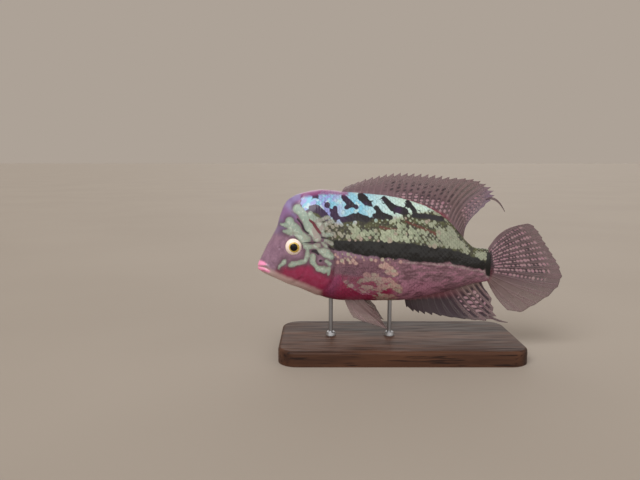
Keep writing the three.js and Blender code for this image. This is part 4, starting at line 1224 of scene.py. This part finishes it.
def anal_marks(t, v, number):
    pearled = span(number, 8.2, 8.8, 11.6, 12.6) * span(v, 0.2, 0.3, 0.62, 0.8)
    streaked = ease(number, 3, 6) * span(v, 0.05, 0.2, 0.85, 1.0)
    return fin_marks(
        t,
        beaded(beads(number, v, 0.125, 0.27, 41, 0.9), pearled),
        dark=streaked * np.maximum(gap_lines(number, 0.15, 0.36), 0.7 * pearled),
        red_root=0.55 * fade(number, 6, 11) * fade(v, 0.08, 0.3),
        smoke=fade(number, 6.6, 9.6) * ease(v, 0.1, 0.3),
        tan=0.8 * ease(number, 8, 11) * fade(v, 0.3, 0.6),
    )


def pelvic_marks(t, v, number):
    return fin_marks(t, smoke=0.1 * fade(t, 0.0, 0.3) + 0.35 * ease(v, 0.8, 1), tan=0.6)


def pectoral_marks(t, v, number):
    return fin_marks(t)


# The depth of the notches in each fin's edge, and the points that the two trailing tips reach
DORSAL_EDGE = [(0, 0.05), (0.1, 0.16), (0.5, 0.12), (0.6, 0.05), (0.8, 0.09), (1, 0.05)]
ANAL_EDGE = [(0, 0.2), (0.3, 0.16), (0.42, 0.03), (0.6, 0.03), (0.75, 0.12), (1, 0.08)]
SMOOTH_EDGE = [(0, 0.02), (1, 0.02)]
PELVIC_EDGE = [(0, 0.03), (1, 0.03)]
DORSAL_TRAIL = (23 / 28, (201.4, 43.2))
ANAL_TRAIL = (10 / 14, (208, -49))


class FLOWERHORN_OT_fins(bpy.types.Operator):
    """Builds the three unpaired fins and the two pairs"""

    bl_idname = "flowerhorn.fins"
    bl_label = "Fins"

    def execute(self, context):
        colours = context.scene.flowerhorn_colours
        ridge = context.scene.flowerhorn_sizes.ray_ridge / MM
        smoky = fin_material("smoky_fin", colours, "fin_film", "fin_ray", 0.9, 0.6, 0.9)
        clear = fin_material("clear_fin", colours, "clear_film", "clear_ray", 0.26, 0.08, 0.24)

        def fin(name, solid, form, marks, trail=None, turn=1, material=smoky, slot="fin", **grid):
            at, rays, edge, root, ray_ridge = form
            bm = bmesh.new()
            fin_sheet(bm, at, rays, profile(edge), root, ray_ridge, marks, **grid)
            if trail:
                trailer(bm, at, *trail)
            bmesh.ops.scale(bm, verts=bm.verts, vec=(1, turn, 1))
            finished(name, bm, material, (solid,), slot)

        dorsal = (dorsal_at, 29, DORSAL_EDGE, 1.1, ridge)
        anal = (anal_at, 15, ANAL_EDGE, 1.1, ridge)
        caudal = (caudal_at, 16, SMOOTH_EDGE, 2.2, ridge)
        pelvic = (pelvic_at, 6, PELVIC_EDGE, 0.7, ridge)
        pectoral = (pectoral_at, 13, SMOOTH_EDGE, 0.6, ridge * 0.7)
        fin("dorsal_sail", "dorsal_fin", dorsal, dorsal_marks, DORSAL_TRAIL, spine_share=0.58)
        fin("anal_sail", "anal_fin", anal, anal_marks, ANAL_TRAIL, spine_share=0.4, columns=16)
        fin("tail_fan", "caudal_fin", caudal, caudal_marks, columns=18, rows=80)
        for side, turn in (("left", -1), ("right", 1)):
            pair = {"turn": turn, "spine_share": 0.1, "columns": 18}
            fin("pelvic_sail_" + side, "pelvic_fin_" + side, pelvic, pelvic_marks, **pair)
            pair = {"turn": turn, "columns": 14, "material": clear, "slot": "clear_fin"}
            fin("pectoral_fan_" + side, "pectoral_fin_" + side, pectoral, pectoral_marks, **pair)
        return {"FINISHED"}


# The stand
def rounded(bm, edges, offset, segments):
    """Rounds the given edges of a form."""
    bmesh.ops.bevel(
        bm, geom=edges, offset=offset, offset_type="OFFSET", segments=segments, profile=0.5, affect="EDGES",
        material=-1,
    )


class FLOWERHORN_OT_stand(bpy.types.Operator):
    """Builds the wooden base and the two steel rods in their sockets"""

    bl_idname = "flowerhorn.stand"
    bl_label = "Stand"

    def execute(self, context):
        sizes = context.scene.flowerhorn_sizes
        colours = context.scene.flowerhorn_colours
        low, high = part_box("stand_base")
        bm = bmesh.new()
        bmesh.ops.create_cube(bm, size=1)
        bmesh.ops.scale(bm, verts=bm.verts, vec=high - low)
        bmesh.ops.translate(bm, verts=bm.verts, vec=(low + high) / 2)
        upright = [e for e in bm.edges if abs(e.verts[0].co.z - e.verts[1].co.z) > (high.z - low.z) / 2]
        rounded(bm, upright, sizes.base_corner, 14)
        upper = [e for e in bm.edges if min(v.co.z for v in e.verts) > high.z - 1e-6]
        rounded(bm, upper, sizes.base_edge, 6)
        finished("wooden_base", bm, wood_material(colours), ("stand_base",), "wood", crisp=math.radians(32))

        steel = steel_material(colours)
        for where in ("front", "rear"):
            low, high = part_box("stand_rod_" + where)
            centre = (low + high) / 2
            foot = low.z - ROD_SUNK * MM
            end = high.z + ROD_TUCKED * MM
            collar = (high.x - low.x) / 2
            rod = sizes.rod_radius
            outline = [
                (0, foot), (collar, foot), (collar, foot + 0.6 * MM), (collar * 0.84, foot + 2.9 * MM),
                (collar * 0.74, foot + 3.3 * MM), (rod + 0.25 * MM, foot + 3.3 * MM), (rod, foot + 3.6 * MM),
                (rod, end), (0, end),
            ]
            bm = bmesh.new()
            verts = [bm.verts.new((centre.x + r, centre.y, z)) for r, z in outline]
            edges = [bm.edges.new(pair) for pair in zip(verts, verts[1:])]
            bmesh.ops.spin(
                bm, geom=verts + edges, cent=centre, axis=(0, 0, 1), dvec=(0, 0, 0), angle=2 * math.pi,
                steps=64, use_merge=True,
            )
            solid = ("stand_rod_" + where,)
            finished("steel_rod_" + where, bm, steel, solid, "steel", merge=1e-6, crisp=math.radians(10))
        return {"FINISHED"}


# The studio: each light's name, the way it shines, its strength and how wide it is in degrees
LIGHTS = (
    ("key_light", (0.5, 0.75, -1.0), 2.1, 40),
    ("front_light", (-0.2, 1.0, 0.12), 0.9, 70),
    ("side_light", (-0.9, 0.4, -0.4), 0.4, 60),
    ("back_light", (-0.2, -1.0, -0.5), 0.55, 50),
)


class FLOWERHORN_OT_stage(bpy.types.Operator):
    """Sets the pale floor, the soft studio light and the camera"""

    bl_idname = "flowerhorn.stage"
    bl_label = "Stage"

    def execute(self, context):
        scene = context.scene
        colours = scene.flowerhorn_colours
        camera = bpy.data.objects.new("camera", bpy.data.cameras.new("camera"))
        camera.data.lens = CAMERA_LENS
        camera.data.sensor_width = 36
        camera.data.clip_start = 0.01
        camera.data.clip_end = 100
        camera.location = place(CAMERA_AIM) - CAMERA_WAY * CAMERA_DISTANCE
        camera.rotation_euler = (math.pi / 2 - CAMERA_DOWN, 0, 0)
        scene.collection.objects.link(camera)
        scene.camera = camera

        bm = bmesh.new()
        bmesh.ops.create_grid(bm, x_segments=8, y_segments=8, size=40)
        mesh = bpy.data.meshes.new("studio_floor")
        bm.to_mesh(mesh)
        bm.free()
        mesh.materials.append(floor_material(colours))
        floor = bpy.data.objects.new("studio_floor", mesh)
        scene.collection.objects.link(floor)

        for name, way, strength, width in LIGHTS:
            light = bpy.data.lights.new(name, "SUN")
            light.energy = strength
            light.angle = math.radians(width)
            lamp = bpy.data.objects.new(name, light)
            lamp.rotation_euler = Vector(way).to_track_quat("-Z", "Y").to_euler()
            scene.collection.objects.link(lamp)
        world = bpy.data.worlds.new("studio")
        world.use_nodes = True
        world.node_tree.nodes["Background"].inputs["Color"].default_value = colours.backdrop
        scene.world = world
        scene.view_settings.view_transform = "Standard"
        return {"FINISHED"}


# What a user may change
def length(name, description, default, unit="LENGTH"):
    return bpy.props.FloatProperty(
        name=name, description=description, default=default, unit=unit, precision=5
    )


def colour(name, description, chart):
    return bpy.props.FloatVectorProperty(
        name=name, description=description, default=paint(*chart), subtype="COLOR", size=4, min=0, max=1
    )


class FlowerhornSizes(bpy.types.PropertyGroup):
    snout_step: length("Snout step", "Ring spacing over the snout, mm", 0.36, "NONE")
    face_step: length("Face step", "Ring spacing over the face, mm", 0.52, "NONE")
    body_step: length("Body step", "Ring spacing down the body, mm", 0.62, "NONE")
    skin_columns: bpy.props.IntProperty(name="Skin columns", description="Points on a ring", default=272)
    scale_relief: length("Scale relief", "How far a scale's free edge stands up", 0.00055)
    gill_groove: length("Gill groove", "Depth of the opening behind the gill cover", 0.0005)
    lip_swell: length("Lip swell", "How far the lips stand out of the snout", 0.001)
    ray_ridge: length("Ray ridge", "How far a fin ray stands out of each face", 0.0003)
    base_corner: length("Base corner", "Corner radius of the wooden base", 0.016)
    base_edge: length("Base edge", "Rounding of the base's upper edge", 0.0025)
    rod_radius: length("Rod radius", "Radius of a steel rod", 0.0017)


# Every colour: what it paints, and its red, green and blue on a chart
COLOURS = {
    "face": ("Mauve-grey of the snout and forehead", 150, 118, 138),
    "face_shade": ("Darker mottling of the face", 130, 100, 120),
    "hump": ("Purple of the hump", 163, 95, 140),
    "crest": ("Purple edge along the top of the hump", 146, 78, 128),
    # haze: blue-grey patches, partly a painted highlight of reflected light on the hump's front
    "haze": ("Blue-grey patches of the forehead", 152, 142, 186),
    # brow: a painted sheen of reflected light over the forehead's front edge
    "brow": ("Blue-grey haze of the brow", 124, 106, 150),
    "gill_flush": ("Purple behind the gill cover", 134, 68, 104),
    "hump_violet": ("Blue-violet sheen on the hump", 138, 114, 165),
    "crimson": ("Cheek and throat", 146, 40, 76),
    "crimson_shade": ("Deeper red of the throat", 152, 56, 90),
    "mauve": ("Grey-mauve under the black band", 124, 90, 102),
    "mauve_shade": ("Streaks in the mauve", 104, 72, 84),
    "rear": ("Mauve of the rear belly", 134, 100, 112),
    # rear_pink also lightens the underside, partly as painted light against its shade
    "rear_pink": ("Pink streaks of the rear belly", 172, 120, 142),
    "rear_dark": ("Dark streaks of the rear belly", 94, 62, 74),
    "jaw": ("Tan-pink underside of the jaw", 214, 186, 182),
    "ground": ("Dark skin between the pearls", 52, 50, 42),
    "ground_olive": ("Olive skin between the pearls", 80, 82, 50),
    "window": ("Dark windows between the plates", 34, 32, 38),
    "window_purple": ("Purple windows", 62, 34, 76),
    "black": ("The lateral band", 7, 6, 7),
    "black_olive": ("Greener parts of the band", 17, 17, 13),
    "band_edge": ("Grey line under the band", 156, 138, 138),
    "rust": ("Rust-red spots", 98, 56, 46),
    "pearl": ("Grey-green pearls", 148, 160, 134),
    "pearl_pale": ("Lit pearls", 174, 182, 156),
    "pearl_pink": ("Pinkish pearls", 176, 154, 144),
    "front_pearl": ("Greyer pearls behind the cheek", 154, 144, 134),
    "pearl_rear": ("Greyer pearls before the tail", 140, 144, 126),
    "pearl_shade": ("Mottling of the pearls", 112, 122, 98),
    "plate": ("Turquoise plates of the upper flank", 180, 216, 223),
    "plate_violet": ("Violet sheen of the front plates", 148, 154, 214),
    "plate_cyan": ("Cyan sheen of the plates", 124, 192, 220),
    "plate_green": ("Green plates further back", 196, 220, 206),
    # Painted highlight: pale patches of the plates that stand for glints of light
    "plate_painted_highlight": ("Palest parts of the plates", 200, 226, 226),
    "belly_pearl": ("Pink pearls of the belly", 188, 152, 146),
    "belly_pearl_pale": ("Grey pearls of the belly", 178, 166, 150),
    "belly_rim": ("Darker rims of the belly's pearls", 128, 84, 92),
    "between_strokes": ("Dark purple between the head's strokes", 82, 60, 70),
    "stroke": ("Pale strokes on the head", 166, 170, 156),
    "stroke_light": ("Lit flecks of the strokes", 184, 198, 184),
    "stroke_green": ("Greener parts of the strokes", 142, 166, 154),
    "stroke_grey": ("Pinkish-grey parts of the strokes", 160, 146, 142),
    "stroke_edge": ("Darker edges of the strokes", 122, 132, 118),
    "slit_red": ("Dark red slit on the head", 106, 40, 54),
    "slit": ("Dark slits on the head", 40, 30, 40),
    "lip": ("Bright pink of the lips", 246, 152, 194),
    "scale_shade": ("Shade under a scale's edge", 120, 110, 112),
    "crease": ("Shade in the folds", 90, 50, 64),
    "fin_film": ("Smoky mauve film", 118, 89, 98),
    "fin_shade": ("Darker film", 104, 80, 87),
    "fin_ray": ("Rays of the smoky fins", 144, 116, 120),
    "fin_dark": ("Dark net between the beads", 54, 38, 48),
    "fin_bead": ("Pale beads", 166, 140, 143),
    "fin_bead_pink": ("Pinker beads", 164, 121, 137),
    "fin_root": ("Red along the roots", 126, 50, 68),
    "fin_smoke": ("Blackish parts", 62, 50, 56),
    "fin_smoky_ray": ("Rays of the blackish parts", 68, 55, 61),
    "fin_violet": ("Violet tint of the dorsal's rear", 122, 96, 138),
    "fin_tan": ("Brown clear parts", 132, 112, 106),
    "clear_film": ("Film of the pectoral fins", 158, 116, 136),
    "clear_ray": ("Rays of the pectoral fins", 170, 130, 146),
    "eye_gold": ("Inner ring of the iris", 226, 196, 92),
    "eye_gold_shade": ("Darker gold", 176, 142, 60),
    "eye_pale": ("Outer ring of the iris", 255, 244, 226),
    "eye_pink": ("Pink in the outer ring", 250, 226, 220),
    "eye_rim": ("Rim of the eye", 130, 96, 112),
    "pupil": ("The pupil", 6, 4, 8),
    "wood": ("Stained hardwood", 86, 56, 40),
    "wood_dark": ("Dark grain", 52, 32, 24),
    "wood_pore": ("Open pores", 34, 20, 16),
    "steel": ("Brushed steel", 168, 169, 172),
    "floor": ("Pale studio floor", 163, 154, 144),
    "floor_shade": ("Slight unevenness of the floor", 160, 151, 141),
    "backdrop": ("Pale studio air", 173, 162, 151),
}


class FlowerhornColours(bpy.types.PropertyGroup):
    __annotations__ = {
        key: colour(key.replace("_", " ").capitalize(), use, chart) for key, (use, *chart) in COLOURS.items()
    }


class FLOWERHORN_PT_panel(bpy.types.Panel):
    """Lists the steps of the model in the sidebar"""

    bl_idname = "FLOWERHORN_PT_panel"
    bl_label = "Flowerhorn"
    bl_space_type = "VIEW_3D"
    bl_region_type = "UI"
    bl_category = "Flowerhorn"

    def draw(self, context):
        for step in STEPS:
            self.layout.operator(step.bl_idname)
        for group in (context.scene.flowerhorn_sizes, context.scene.flowerhorn_colours):
            box = self.layout.box()
            for name in group.__annotations__:
                box.prop(group, name)


STEPS = (
    FLOWERHORN_OT_stage,
    FLOWERHORN_OT_skin,
    FLOWERHORN_OT_eyes,
    FLOWERHORN_OT_fins,
    FLOWERHORN_OT_stand,
)
CLASSES = (FlowerhornSizes, FlowerhornColours, *STEPS, FLOWERHORN_PT_panel)


def register():
    for cls in CLASSES:
        bpy.utils.register_class(cls)
    bpy.types.Scene.flowerhorn_sizes = bpy.props.PointerProperty(type=FlowerhornSizes)
    bpy.types.Scene.flowerhorn_colours = bpy.props.PointerProperty(type=FlowerhornColours)


def unregister():
    del bpy.types.Scene.flowerhorn_colours
    del bpy.types.Scene.flowerhorn_sizes
    for cls in reversed(CLASSES):
        bpy.utils.unregister_class(cls)


def main():
    register()
    bpy.ops.flowerhorn.stage()
    bpy.ops.flowerhorn.skin()
    bpy.ops.flowerhorn.eyes()
    bpy.ops.flowerhorn.fins()
    bpy.ops.flowerhorn.stand()


if __name__ == "__main__":
    main()
